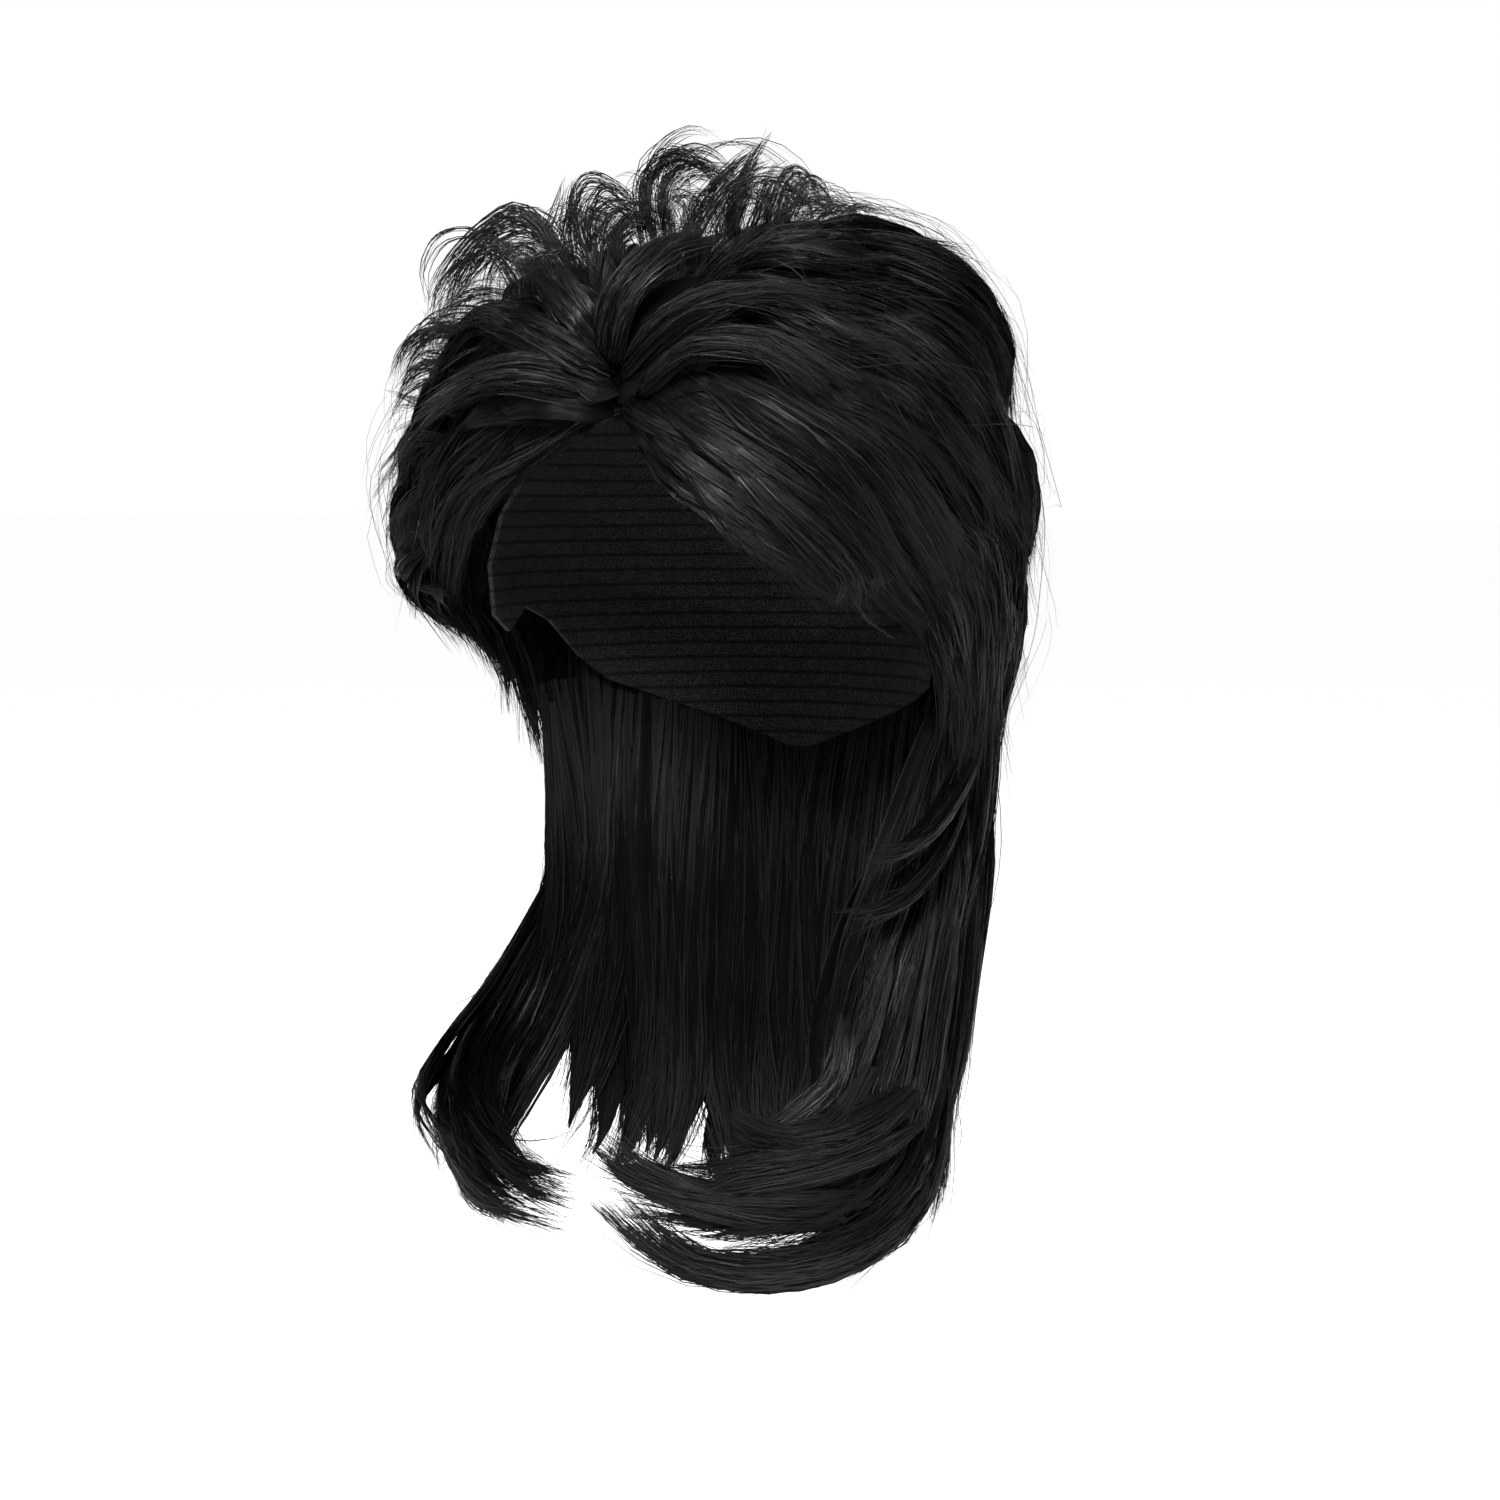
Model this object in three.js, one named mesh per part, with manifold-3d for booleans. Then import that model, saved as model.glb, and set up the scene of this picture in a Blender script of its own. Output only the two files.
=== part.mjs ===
import * as THREE from 'three';
import Module from 'manifold-3d';

// Mullet wig in its worn form: millimetres, +Z up, the face side towards -Y.
// The origin is the highest point of the head, inside the cap.
// Azimuth is in degrees: 0 at the forehead, 90 at the wearer's left ear, 180 at the nape.
// Drop is 0 on top of the head, 1 at the ear line and 2 at the lower end of the tail.
// Outer and inner are heights over the head, as shares of HAIR_LOFT.

const HEAD_HALF_WIDTH = 76;
const HEAD_HALF_LENGTH = 97;
const CROWN_HEIGHT = 92;
const TAIL_DROP = 240;
const HAIR_LOFT = 48;
const CAP_WALL = 1.6;
const GAP = 0.3;
const LOCK_RELIEF = 5;
const CURL_RADIUS = 18;
const CURL_WIDTH = 14;
const CAP_COLUMNS = 36;
const CAP_ROWS = 7;
const BODY_ROWS = 6;
const TIP_ROWS = 3;
const TIP_STAGGER = 0.07;
const CURL_ROWS = 7;
const FINENESS = 0.07;

// Neck and shoulders under the ear line: half width as a share of the head's,
// reach to the front and to the back as shares of the head's half length.
const NECK_SECTIONS = [
  { drop: 1.00, width: 1.00, front: 1.00, back: 1.00 },
  { drop: 1.12, width: 0.97, front: 0.98, back: 0.93 },
  { drop: 1.25, width: 0.90, front: 0.90, back: 0.79 },
  { drop: 1.50, width: 0.79, front: 0.60, back: 0.62 },
  { drop: 1.75, width: 0.79, front: 0.58, back: 0.60 },
  { drop: 2.00, width: 0.88, front: 0.66, back: 0.66 },
];

// Edge of the cap: hairline, temple, sideburn tab, over the ear, behind the ear, nape.
const CAP_EDGE = [
  { azimuth: 0, drop: 0.47 },
  { azimuth: 25, drop: 0.56 },
  { azimuth: 50, drop: 0.77 },
  { azimuth: 66, drop: 0.98 },
  { azimuth: 76, drop: 1.07 },
  { azimuth: 86, drop: 1.00 },
  { azimuth: 98, drop: 1.02 },
  { azimuth: 116, drop: 1.12 },
  { azimuth: 180, drop: 1.24 },
];

// A sheet of hair is the surface through three guides, from root to tip.
// Its locks part into tips from the split share of their length, and every second
// tip stands out by flick millimetres.
const SHEETS = [
  {
    node: 'crown_hair', locks: 16, split: 0.70, flick: 4,
    guides: [
      { azimuth: [-12, 20, 44, 64, 86], drop: [0.40, 0.50, 0.61, 0.75, 0.96],
        outer: [0.12, 0.60, 0.73, 0.75, 0.66], inner: 0 },
      { azimuth: [-11, 30, 58, 76, 98], drop: [0.33, 0.39, 0.49, 0.63, 0.88],
        outer: [0.15, 0.80, 0.95, 1.00, 0.90], inner: 0 },
      { azimuth: [-10, 46, 84, 106, 118], drop: [0.27, 0.28, 0.36, 0.52, 0.80],
        outer: [0.18, 1.02, 1.30, 1.24, 0.90], inner: 0 },
      { azimuth: [-11, 64, 124, 138, 146], drop: [0.22, 0.16, 0.32, 0.54, 0.84],
        outer: [0.22, 1.05, 1.30, 1.14, 0.84], inner: 0 },
      { azimuth: [-15, 180, 180, 180, 180], drop: [0.19, 0.05, 0.30, 0.56, 0.88],
        outer: [0.25, 1.00, 1.10, 1.04, 0.88], inner: 0 },
      { azimuth: [-19, -90, -136, -144, -150], drop: [0.22, 0.20, 0.36, 0.56, 0.86],
        outer: [0.22, 1.02, 1.10, 1.02, 0.86], inner: 0 },
      { azimuth: [-21, -74, -108, -118, -124], drop: [0.28, 0.31, 0.46, 0.64, 0.90],
        outer: [0.18, 1.10, 1.12, 1.04, 0.88], inner: 0 },
      { azimuth: [-21, -58, -84, -98, -106], drop: [0.34, 0.40, 0.55, 0.74, 0.96],
        outer: [0.15, 1.06, 1.16, 1.12, 0.96], inner: 0 },
      { azimuth: [-19, -46, -64, -76, -86], drop: [0.40, 0.46, 0.60, 0.79, 0.99],
        outer: [0.12, 0.84, 1.04, 1.10, 1.00], inner: 0 },
    ],
  },
  {
    node: 'fringe_left', locks: 6, split: 0.60, flick: 3,
    guides: [
      { azimuth: [4, 17, 30, 42, 56], drop: [0.50, 0.66, 0.80, 0.90, 0.99],
        outer: [0.10, 0.19, 0.25, 0.29, 0.31], inner: [0, 0, 0.02, 0.06, 0.12] },
      { azimuth: [-4, 12, 30, 46, 68], drop: [0.44, 0.57, 0.70, 0.84, 1.02],
        outer: [0.12, 0.38, 0.50, 0.50, 0.42], inner: [0, 0, 0, 0.05, 0.14] },
      { azimuth: [-10, 18, 40, 60, 82], drop: [0.37, 0.52, 0.65, 0.80, 1.00],
        outer: [0.14, 0.56, 0.67, 0.66, 0.54], inner: [0, 0, 0, 0.05, 0.20] },
    ],
  },
  {
    node: 'fringe_right', locks: 5, split: 0.55, flick: 7,
    guides: [
      { azimuth: [0, -12, -28, -42, -62], drop: [0.50, 0.56, 0.66, 0.78, 0.94],
        outer: [0.10, 0.15, 0.19, 0.21, 0.24], inner: [0, 0, 0, 0.02, 0.06] },
      { azimuth: [-6, -28, -44, -56, -72], drop: [0.46, 0.53, 0.65, 0.80, 1.02],
        outer: [0.12, 0.36, 0.44, 0.48, 0.50], inner: [0, 0, 0, 0.04, 0.16] },
      { azimuth: [-12, -40, -58, -70, -80], drop: [0.41, 0.48, 0.62, 0.80, 1.02],
        outer: [0.14, 0.56, 0.66, 0.70, 0.66], inner: [0, 0, 0, 0.05, 0.22] },
    ],
  },
  {
    node: 'side_left', locks: 5, split: 0.62, flick: 3,
    guides: [
      { azimuth: [66, 66, 74, 80, 84], drop: [0.80, 0.92, 1.01, 1.10, 1.24],
        outer: [0.16, 0.38, 0.46, 0.46, 0.40], inner: [0, 0.06, 0.14, 0.24, 0.28] },
      { azimuth: [84, 84, 88, 94, 98], drop: [0.70, 0.86, 1.00, 1.14, 1.30],
        outer: [0.21, 0.72, 0.76, 0.62, 0.56], inner: [0, 0.06, 0.18, 0.32, 0.34] },
      { azimuth: [112, 110, 112, 116, 118], drop: [0.66, 0.84, 1.02, 1.16, 1.32],
        outer: [0.21, 0.94, 0.86, 0.64, 0.54], inner: [0, 0, 0, 0.08, 0.20] },
    ],
  },
  {
    node: 'side_right', locks: 5, split: 0.55, flick: 6,
    guides: [
      { azimuth: [-60, -64, -69, -74, -80], drop: [0.76, 0.86, 0.94, 1.00, 1.06],
        outer: [0.20, 0.56, 0.76, 0.66, 0.32], inner: [0, 0.06, 0.16, 0.22, 0.20] },
      { azimuth: [-84, -84, -88, -93, -98], drop: [0.68, 0.82, 0.93, 1.02, 1.12],
        outer: [0.21, 0.80, 0.90, 0.70, 0.40], inner: [0, 0.06, 0.18, 0.30, 0.26] },
      { azimuth: [-112, -110, -112, -116, -118], drop: [0.66, 0.84, 1.02, 1.16, 1.32],
        outer: [0.21, 0.84, 0.86, 0.74, 0.56], inner: [0, 0, 0, 0.08, 0.20] },
    ],
  },
  {
    node: 'back_hair', locks: 7, split: 0.66, flick: 4,
    guides: [
      { azimuth: [112, 112, 114, 116, 118], drop: [0.60, 0.80, 1.00, 1.18, 1.36],
        outer: [0.21, 0.90, 0.82, 0.62, 0.54], inner: [0, 0, 0, 0.02, 0.14] },
      { azimuth: [180, 180, 180, 180, 180], drop: [0.60, 0.80, 1.00, 1.22, 1.46],
        outer: [0.21, 0.78, 0.86, 0.86, 0.84], inner: [0, 0, 0, 0.04, 0.40] },
      { azimuth: [-112, -112, -114, -116, -118], drop: [0.60, 0.80, 1.00, 1.18, 1.36],
        outer: [0.21, 0.84, 0.84, 0.70, 0.58], inner: [0, 0, 0, 0.02, 0.14] },
    ],
  },
  {
    node: 'tail_left', locks: 8, split: 0.66, flick: 4,
    guides: [
      { azimuth: [101, 76, 61, 54, 50, 34, 14], drop: [1.12, 1.31, 1.46, 1.59, 1.68, 1.75, 1.77],
        outer: [0.20, 0.36, 0.46, 0.50, 0.54, 0.54, 0.52], inner: [0.04, 0.10, 0.14, 0.2, 0.28, 0.32, 0.36] },
      { azimuth: [106, 92, 81, 72, 56, 30, 4], drop: [1.08, 1.35, 1.54, 1.70, 1.80, 1.86, 1.83],
        outer: [0.24, 0.58, 0.64, 0.64, 0.67, 0.71, 0.66], inner: [0.04, 0.06, 0.10, 0.16, 0.3, 0.36, 0.46] },
      { azimuth: [118, 110, 104, 94, 76, 52, 30], drop: [1.04, 1.34, 1.56, 1.74, 1.85, 1.91, 1.93],
        outer: [0.28, 0.66, 0.68, 0.58, 0.62, 0.74, 0.78], inner: [0.04, 0.06, 0.10, 0.16, 0.26, 0.42, 0.56] },
      { azimuth: [128, 124, 121, 116, 108, 94, 78], drop: [1.03, 1.30, 1.50, 1.66, 1.78, 1.86, 1.91],
        outer: [0.28, 0.68, 0.70, 0.58, 0.48, 0.46, 0.50], inner: [0.04, 0.08, 0.14, 0.16, 0.16, 0.2, 0.3] },
    ],
  },
  {
    node: 'tail_back', locks: 7, split: 0.70, flick: 5,
    guides: [
      { azimuth: [126, 124, 122, 119, 114, 106], drop: [1.04, 1.34, 1.55, 1.72, 1.83, 1.90],
        outer: [0.28, 0.68, 0.68, 0.56, 0.46, 0.42], inner: [0.04, 0.08, 0.14, 0.16, 0.16, 0.2] },
      { azimuth: [180, 180, 180, 180, 180, 180], drop: [1.02, 1.34, 1.60, 1.78, 1.90, 1.98],
        outer: [0.28, 0.80, 0.86, 0.78, 0.64, 0.54], inner: [0.04, 0.16, 0.28, 0.30, 0.28, 0.28] },
      { azimuth: [-126, -124, -122, -118, -113, -105], drop: [1.04, 1.34, 1.55, 1.72, 1.83, 1.90],
        outer: [0.28, 0.60, 0.68, 0.66, 0.58, 0.50], inner: [0.04, 0.06, 0.12, 0.2, 0.24, 0.26] },
    ],
  },
  {
    node: 'tail_right', locks: 7, split: 0.52, flick: 8,
    guides: [
      { azimuth: [-104, -103, -103, -98, -78, -44, -20], drop: [1.14, 1.34, 1.48, 1.62, 1.72, 1.79, 1.82],
        outer: [0.20, 0.28, 0.34, 0.50, 0.62, 0.46, 0.40], inner: [0.04, 0.06, 0.1, 0.18, 0.3, 0.2, 0.2] },
      { azimuth: [-106, -112, -109, -98, -74, -36, -8], drop: [1.10, 1.34, 1.48, 1.64, 1.77, 1.84, 1.85],
        outer: [0.24, 0.42, 0.62, 0.92, 0.88, 0.54, 0.46], inner: [0.04, 0.06, 0.14, 0.36, 0.5, 0.26, 0.26] },
      { azimuth: [-118, -118, -114, -104, -84, -54, -24], drop: [1.04, 1.34, 1.50, 1.67, 1.79, 1.86, 1.88],
        outer: [0.28, 0.52, 0.72, 0.98, 0.92, 0.66, 0.56], inner: [0.04, 0.06, 0.16, 0.4, 0.52, 0.38, 0.38] },
      { azimuth: [-128, -124, -121, -115, -104, -88, -70], drop: [1.03, 1.32, 1.50, 1.66, 1.78, 1.85, 1.88],
        outer: [0.28, 0.58, 0.72, 0.80, 0.78, 0.62, 0.50], inner: [0.04, 0.06, 0.14, 0.30, 0.40, 0.34, 0.3] },
    ],
  },
];

// Loops of loose hair over the crown: where they leave it, the way they lean
// (0 towards the forehead, 90 towards the wearer's left), their size and how far they turn.
const CURLS = [
  { azimuth: 24, drop: 0.12, start: 0.84, lean: 110, size: 1.30, turn: 190 },
  { azimuth: -30, drop: 0.12, start: 0.84, lean: 120, size: 1.30, turn: 190 },
  { azimuth: 84, drop: 0.17, start: 0.90, lean: 110, size: 1.00, turn: 150 },
  { azimuth: -48, drop: 0.18, start: 0.80, lean: 250, size: 1.15, turn: 190 },
  { azimuth: 150, drop: 0.10, start: 0.86, lean: 160, size: 1.00, turn: 160 },
  { azimuth: -66, drop: 0.27, start: 0.80, lean: 280, size: 1.25, turn: 180 },
  { azimuth: -36, drop: 0.27, start: 0.70, lean: 320, size: 1.05, turn: 170 },
  { azimuth: -92, drop: 0.28, start: 0.84, lean: 250, size: 1.05, turn: 160 },
  { azimuth: -56, drop: 0.38, start: 0.74, lean: 310, size: 1.05, turn: 140 },
  { azimuth: -78, drop: 0.46, start: 0.86, lean: 280, size: 0.95, turn: 140 },
  { azimuth: 100, drop: 0.26, start: 1.00, lean: 100, size: 0.75, turn: 140 },
];

const wasm = await Module();
wasm.setup();

// Value of a table column between its rows
function between(rows, key, value, column) {
  let low = rows[0];
  for (const high of rows) {
    if (value <= high[key] && high !== low) {
      const share = (value - low[key]) / (high[key] - low[key]);
      return low[column] + (high[column] - low[column]) * share;
    }
    low = high;
  }
  return low[column];
}

// Point at a height over the head or the neck
function formPoint(azimuth, drop, height) {
  const turn = THREE.MathUtils.degToRad(azimuth);
  const point = new THREE.Vector3();
  const normal = new THREE.Vector3();
  if (drop <= 1) {
    const tilt = drop * Math.PI / 2;
    const x = Math.sin(tilt) * Math.sin(turn);
    const y = -Math.sin(tilt) * Math.cos(turn);
    const z = Math.cos(tilt);
    point.set(HEAD_HALF_WIDTH * x, HEAD_HALF_LENGTH * y, CROWN_HEIGHT * (z - 1));
    normal.set(x / HEAD_HALF_WIDTH, y / HEAD_HALF_LENGTH, z / CROWN_HEIGHT);
  } else {
    const side = Math.cos(turn) > 0 ? 'front' : 'back';
    const width = HEAD_HALF_WIDTH * between(NECK_SECTIONS, 'drop', drop, 'width');
    const reach = HEAD_HALF_LENGTH * between(NECK_SECTIONS, 'drop', drop, side);
    point.set(width * Math.sin(turn), -reach * Math.cos(turn), -CROWN_HEIGHT - (drop - 1) * TAIL_DROP);
    normal.set(Math.sin(turn) / width, -Math.cos(turn) / reach, 0);
  }
  return point.addScaledVector(normal.normalize(), height);
}

// Sum of the volumes between each triangle and the origin
function signedVolume(points, faces) {
  let sum = 0;
  for (let i = 0; i < faces.length; i += 3) {
    const [a, b, c] = [0, 1, 2].map((corner) => points[faces[i + corner]]);
    sum += a.dot(b.clone().cross(c)) / 6;
  }
  return sum;
}

// Closed solid from points and triangles, moved outwards by a clearance
function solidFrom(points, faces, clearance = 0) {
  if (signedVolume(points, faces) < 0) {
    faces.reverse();
  }
  const positions = new Float32Array(points.flatMap((point) => point.toArray()));
  const geometry = new THREE.BufferGeometry();
  geometry.setAttribute('position', new THREE.BufferAttribute(positions, 3));
  geometry.setIndex(faces);
  if (clearance > 0) {
    geometry.computeVertexNormals();
    const normals = geometry.attributes.normal.array;
    for (let i = 0; i < positions.length; i += 1) {
      positions[i] += normals[i] * clearance;
    }
  }
  return new wasm.Manifold(new wasm.Mesh({
    numProp: 3,
    vertProperties: positions,
    triVerts: new Uint32Array(faces),
  }));
}

// Closed tube through rings of points, each ring counter-clockwise seen from its end
function tubeSolid(rings, clearance) {
  const sides = rings[0].length;
  const points = rings.flat();
  const faces = [];
  for (let row = 0; row + 1 < rings.length; row += 1) {
    for (let side = 0; side < sides; side += 1) {
      const next = (side + 1) % sides;
      const a = row * sides + side;
      const b = row * sides + next;
      faces.push(a, b, b + sides, a, b + sides, a + sides);
    }
  }
  for (const [row, flip] of [[0, true], [rings.length - 1, false]]) {
    const middle = points.length;
    const centre = new THREE.Vector3();
    rings[row].forEach((point) => centre.addScaledVector(point, 1 / sides));
    points.push(centre);
    for (let side = 0; side < sides; side += 1) {
      const a = row * sides + side;
      const b = row * sides + (side + 1) % sides;
      faces.push(middle, flip ? b : a, flip ? a : b);
    }
  }
  return solidFrom(points, faces, clearance);
}

// Solid of the head and neck with a clearance over them
function headSolid(clearance) {
  const columns = 48;
  const drops = [0.12, 0.25, 0.38, 0.5, 0.62, 0.74, 0.86, 1, 1.12, 1.25, 1.38, 1.5, 1.62, 1.75, 2, 2.3];
  const rings = drops.map((drop) => {
    const ring = [];
    for (let i = 0; i < columns; i += 1) {
      ring.push(formPoint(-360 * i / columns, drop, clearance));
    }
    return ring;
  });
  return tubeSolid(rings, 0).add(topSolid(columns, drops[0], clearance));
}

// Low dome that closes the top of the head solid
function topSolid(columns, drop, clearance) {
  const points = [formPoint(0, 0, clearance), formPoint(0, 0, clearance - 12)];
  const faces = [];
  for (let i = 0; i < columns; i += 1) {
    points.push(formPoint(360 * i / columns, drop, clearance));
    const a = 2 + i;
    const b = 2 + (i + 1) % columns;
    faces.push(0, a, b, 1, b, a);
  }
  return solidFrom(points, faces);
}

// Cap: an even wall over the head, down to the cap edge, with a clearance all round it
function capSolid(clearance) {
  const low = -clearance;
  const high = CAP_WALL + clearance;
  const points = [formPoint(0, 0, low), formPoint(0, 0, high)];
  const faces = [];
  const index = (row, column, side) => 2 + ((row - 1) * CAP_COLUMNS + column % CAP_COLUMNS) * 2 + side;
  for (let row = 1; row <= CAP_ROWS; row += 1) {
    for (let column = 0; column < CAP_COLUMNS; column += 1) {
      const azimuth = 360 * column / CAP_COLUMNS;
      const edge = between(CAP_EDGE, 'azimuth', Math.min(azimuth, 360 - azimuth), 'drop');
      const below = row === CAP_ROWS ? 2 * clearance / HEAD_HALF_LENGTH : 0;
      const drop = edge * row / CAP_ROWS + below;
      points.push(formPoint(azimuth, drop, low), formPoint(azimuth, drop, high));
    }
  }
  for (let column = 0; column < CAP_COLUMNS; column += 1) {
    faces.push(1, index(1, column, 1), index(1, column + 1, 1));
    faces.push(0, index(1, column + 1, 0), index(1, column, 0));
    for (let row = 1; row < CAP_ROWS; row += 1) {
      for (const side of [0, 1]) {
        const a = index(row, column, side);
        const b = index(row, column + 1, side);
        const c = index(row + 1, column + 1, side);
        const d = index(row + 1, column, side);
        faces.push(...(side ? [a, d, c, a, c, b] : [a, c, d, a, b, c]));
      }
    }
    const a = index(CAP_ROWS, column, 0);
    const b = index(CAP_ROWS, column + 1, 0);
    faces.push(a, b, b + 1, a, b + 1, a + 1);
  }
  return solidFrom(points, faces);
}

// Curve through a guide's points at its outer or inner height
function guideCurve(guide, side) {
  const heights = guide[side];
  const points = guide.azimuth.map((azimuth, i) => {
    const height = Array.isArray(heights) ? heights[i] : heights;
    return formPoint(azimuth, guide.drop[i], height * HAIR_LOFT);
  });
  return new THREE.CatmullRomCurve3(points, false, 'catmullrom', 0.5);
}

// Point of a sheet: across from guide to guide, along from root to tip
function sheetPoint(curves, across, along) {
  const row = curves.map((curve) => curve.getPoint(THREE.MathUtils.clamp(along, 0, 1)));
  return new THREE.CatmullRomCurve3(row, false, 'catmullrom', 0.5).getPoint(across);
}

// Section of one lock: two corners at the inner face, a valley on each side and a ridge
function lockRing(sheet, lock, clearance) {
  const body = 1 - 0.85 * lock.tip * lock.tip;
  const half = 0.5 * Math.sqrt(1 - 0.98 * lock.tip * lock.tip) / sheet.locks;
  const across = [-1, 0, 1].map((side) => lock.middle + side * half);
  const tops = across.map((share) => sheetPoint(sheet.outerCurves, share, lock.along));
  const bottoms = across.map((share) => sheetPoint(sheet.innerCurves, share, lock.along));
  const side = tops[2].clone().sub(tops[0]).normalize();
  const corner = (i, below, outward) => {
    const up = tops[i].clone().sub(bottoms[i]);
    const depth = up.length() * body;
    up.normalize();
    const sunk = i === 1 ? 0 : Math.min(LOCK_RELIEF * body, 0.4 * depth);
    const height = lock.lift - (below ? depth : sunk) + (below ? -clearance : clearance);
    return tops[i].clone().addScaledVector(up, height).addScaledVector(side, outward * clearance);
  };
  return [corner(0, true, -1), corner(2, true, 1), corner(2, false, 1), corner(1, false, 0), corner(0, false, -1)];
}

// One lock of a sheet, joined from a convex piece for each of its rows
function lockSolid(sheet, number, clearance) {
  const length = 1 - TIP_STAGGER * ((number * 3) % 4) / 3;
  const rings = [];
  for (let row = 0; row <= BODY_ROWS + TIP_ROWS; row += 1) {
    const tip = Math.max(0, row - BODY_ROWS) / TIP_ROWS;
    const along = row < BODY_ROWS ? sheet.split * row / BODY_ROWS : sheet.split + (length - sheet.split) * tip;
    const lift = sheet.flick * (number % 2 ? 1 : 0.2) * tip * tip;
    rings.push(lockRing(sheet, { middle: (number + 0.5) / sheet.locks, along, tip, lift }, clearance));
  }
  return chainSolid(rings, clearance);
}

// Convex pieces between neighbouring rings, joined, with the clearance past both ends
function chainSolid(rings, clearance) {
  const past = (end, before) => {
    const way = end[0].clone().sub(before[0]).setLength(clearance);
    return end.map((point) => point.clone().add(way));
  };
  if (clearance > 0) {
    rings.unshift(past(rings[0], rings[1]));
    rings.push(past(rings.at(-1), rings.at(-2)));
  }
  const pieces = rings.slice(1).map((ring, i) => (
    wasm.Manifold.hull([...rings[i], ...ring].map((point) => point.toArray()))));
  return wasm.Manifold.union(pieces);
}

// One loop of loose hair: it rises from the crown and bends over to a tip
function curlSolid(curl, clearance) {
  const base = formPoint(curl.azimuth, curl.drop, curl.start * HAIR_LOFT);
  const up = formPoint(curl.azimuth, curl.drop, HAIR_LOFT).sub(formPoint(curl.azimuth, curl.drop, 0));
  up.normalize();
  const lean = THREE.MathUtils.degToRad(curl.lean);
  const away = new THREE.Vector3(Math.sin(lean), -Math.cos(lean), 0);
  away.addScaledVector(up, -away.dot(up)).normalize();
  const side = new THREE.Vector3().crossVectors(up, away);
  const radius = CURL_RADIUS * curl.size;
  const rings = [];
  for (let row = 0; row < CURL_ROWS; row += 1) {
    const share = row / (CURL_ROWS - 1);
    const turn = THREE.MathUtils.degToRad(curl.turn) * share;
    const reach = radius * (1 - 0.25 * share);
    const centre = base.clone().addScaledVector(up, reach * Math.sin(turn) * 1.2);
    centre.addScaledVector(away, reach * (1 - Math.cos(turn)));
    const outward = up.clone().multiplyScalar(Math.sin(turn)).addScaledVector(away, -Math.cos(turn));
    const width = CURL_WIDTH * curl.size * (1 - 0.93 * share ** 1.5);
    const corners = [[1, 0], [0, 0.8], [-1, 0], [0, -0.8]];
    rings.push(corners.map(([across, out]) => centre.clone()
      .addScaledVector(side, across * (width / 2 + clearance))
      .addScaledVector(outward, out * (width / 2 + clearance))));
  }
  return chainSolid(rings, clearance);
}

// All the locks and curls of one node, joined
function hairSolid(node, clearance) {
  const solids = [];
  for (const source of SHEETS.filter((sheet) => sheet.node === node)) {
    const outerCurves = source.guides.map((guide) => guideCurve(guide, 'outer'));
    const innerCurves = source.guides.map((guide) => guideCurve(guide, 'inner'));
    for (let number = 0; number < source.locks; number += 1) {
      solids.push(lockSolid({ ...source, outerCurves, innerCurves }, number, clearance));
    }
  }
  if (node === 'crown_hair') {
    solids.push(...CURLS.map((curl) => curlSolid(curl, clearance)));
  }
  return wasm.Manifold.union(solids);
}

// Largest shell of a solid, without the crumbs and pockets that cuts and joins leave
function mainShell(solid) {
  const mesh = solid.getMesh();
  const shell = Array.from({ length: mesh.numVert }, (_, i) => i);
  const find = (i) => {
    while (shell[i] !== i) {
      shell[i] = shell[shell[i]];
      i = shell[i];
    }
    return i;
  };
  for (let i = 0; i < mesh.triVerts.length; i += 3) {
    const first = find(mesh.triVerts[i]);
    shell[find(mesh.triVerts[i + 1])] = first;
    shell[find(mesh.triVerts[i + 2])] = first;
  }
  const points = Array.from({ length: mesh.numVert }, (_, i) => (
    new THREE.Vector3().fromArray(mesh.vertProperties, mesh.numProp * i)));
  const faces = new Map();
  for (let i = 0; i < mesh.triVerts.length; i += 3) {
    const key = find(mesh.triVerts[i]);
    if (!faces.has(key)) {
      faces.set(key, []);
    }
    faces.get(key).push(...mesh.triVerts.subarray(i, i + 3));
  }
  const shells = [...faces.values()];
  const volumes = shells.map((list) => signedVolume(points, list));
  const best = shells[volumes.indexOf(Math.max(...volumes))];
  const used = [...new Set(best)];
  const place = new Map(used.map((i, order) => [i, order]));
  return solidFrom(used.map((i) => points[i]), best.map((i) => place.get(i)));
}

function meshFrom(name, solid, material) {
  const mesh = solid.getMesh();
  const geometry = new THREE.BufferGeometry();
  const positions = new Float32Array(mesh.numVert * 3);
  for (let i = 0; i < mesh.numVert; i += 1) {
    for (let axis = 0; axis < 3; axis += 1) {
      positions[3 * i + axis] = mesh.vertProperties[mesh.numProp * i + axis];
    }
  }
  geometry.setAttribute('position', new THREE.BufferAttribute(positions, 3));
  geometry.setIndex(Array.from(mesh.triVerts));
  geometry.computeVertexNormals();
  const object = new THREE.Mesh(geometry, material);
  object.name = name;
  return object;
}

const fibre = new THREE.MeshStandardMaterial({ color: 0x17130f, roughness: 0.5, metalness: 0 });
const net = new THREE.MeshStandardMaterial({ color: 0x0e0d0d, roughness: 0.85, metalness: 0 });

const wig = new THREE.Group();
wig.add(meshFrom('cap', capSolid(0), net));

let taken = headSolid(CAP_WALL).add(capSolid(GAP));
const order = ['crown_hair', 'fringe_left', 'fringe_right', 'side_left', 'side_right',
  'back_hair', 'tail_left', 'tail_right', 'tail_back'];
for (const node of order) {
  const solid = mainShell(hairSolid(node, 0).subtract(taken).asOriginal().simplify(FINENESS));
  wig.add(meshFrom(node, solid, fibre));
  taken = taken.add(hairSolid(node, 2 * GAP));
}

export default wig;
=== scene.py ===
import math

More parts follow.
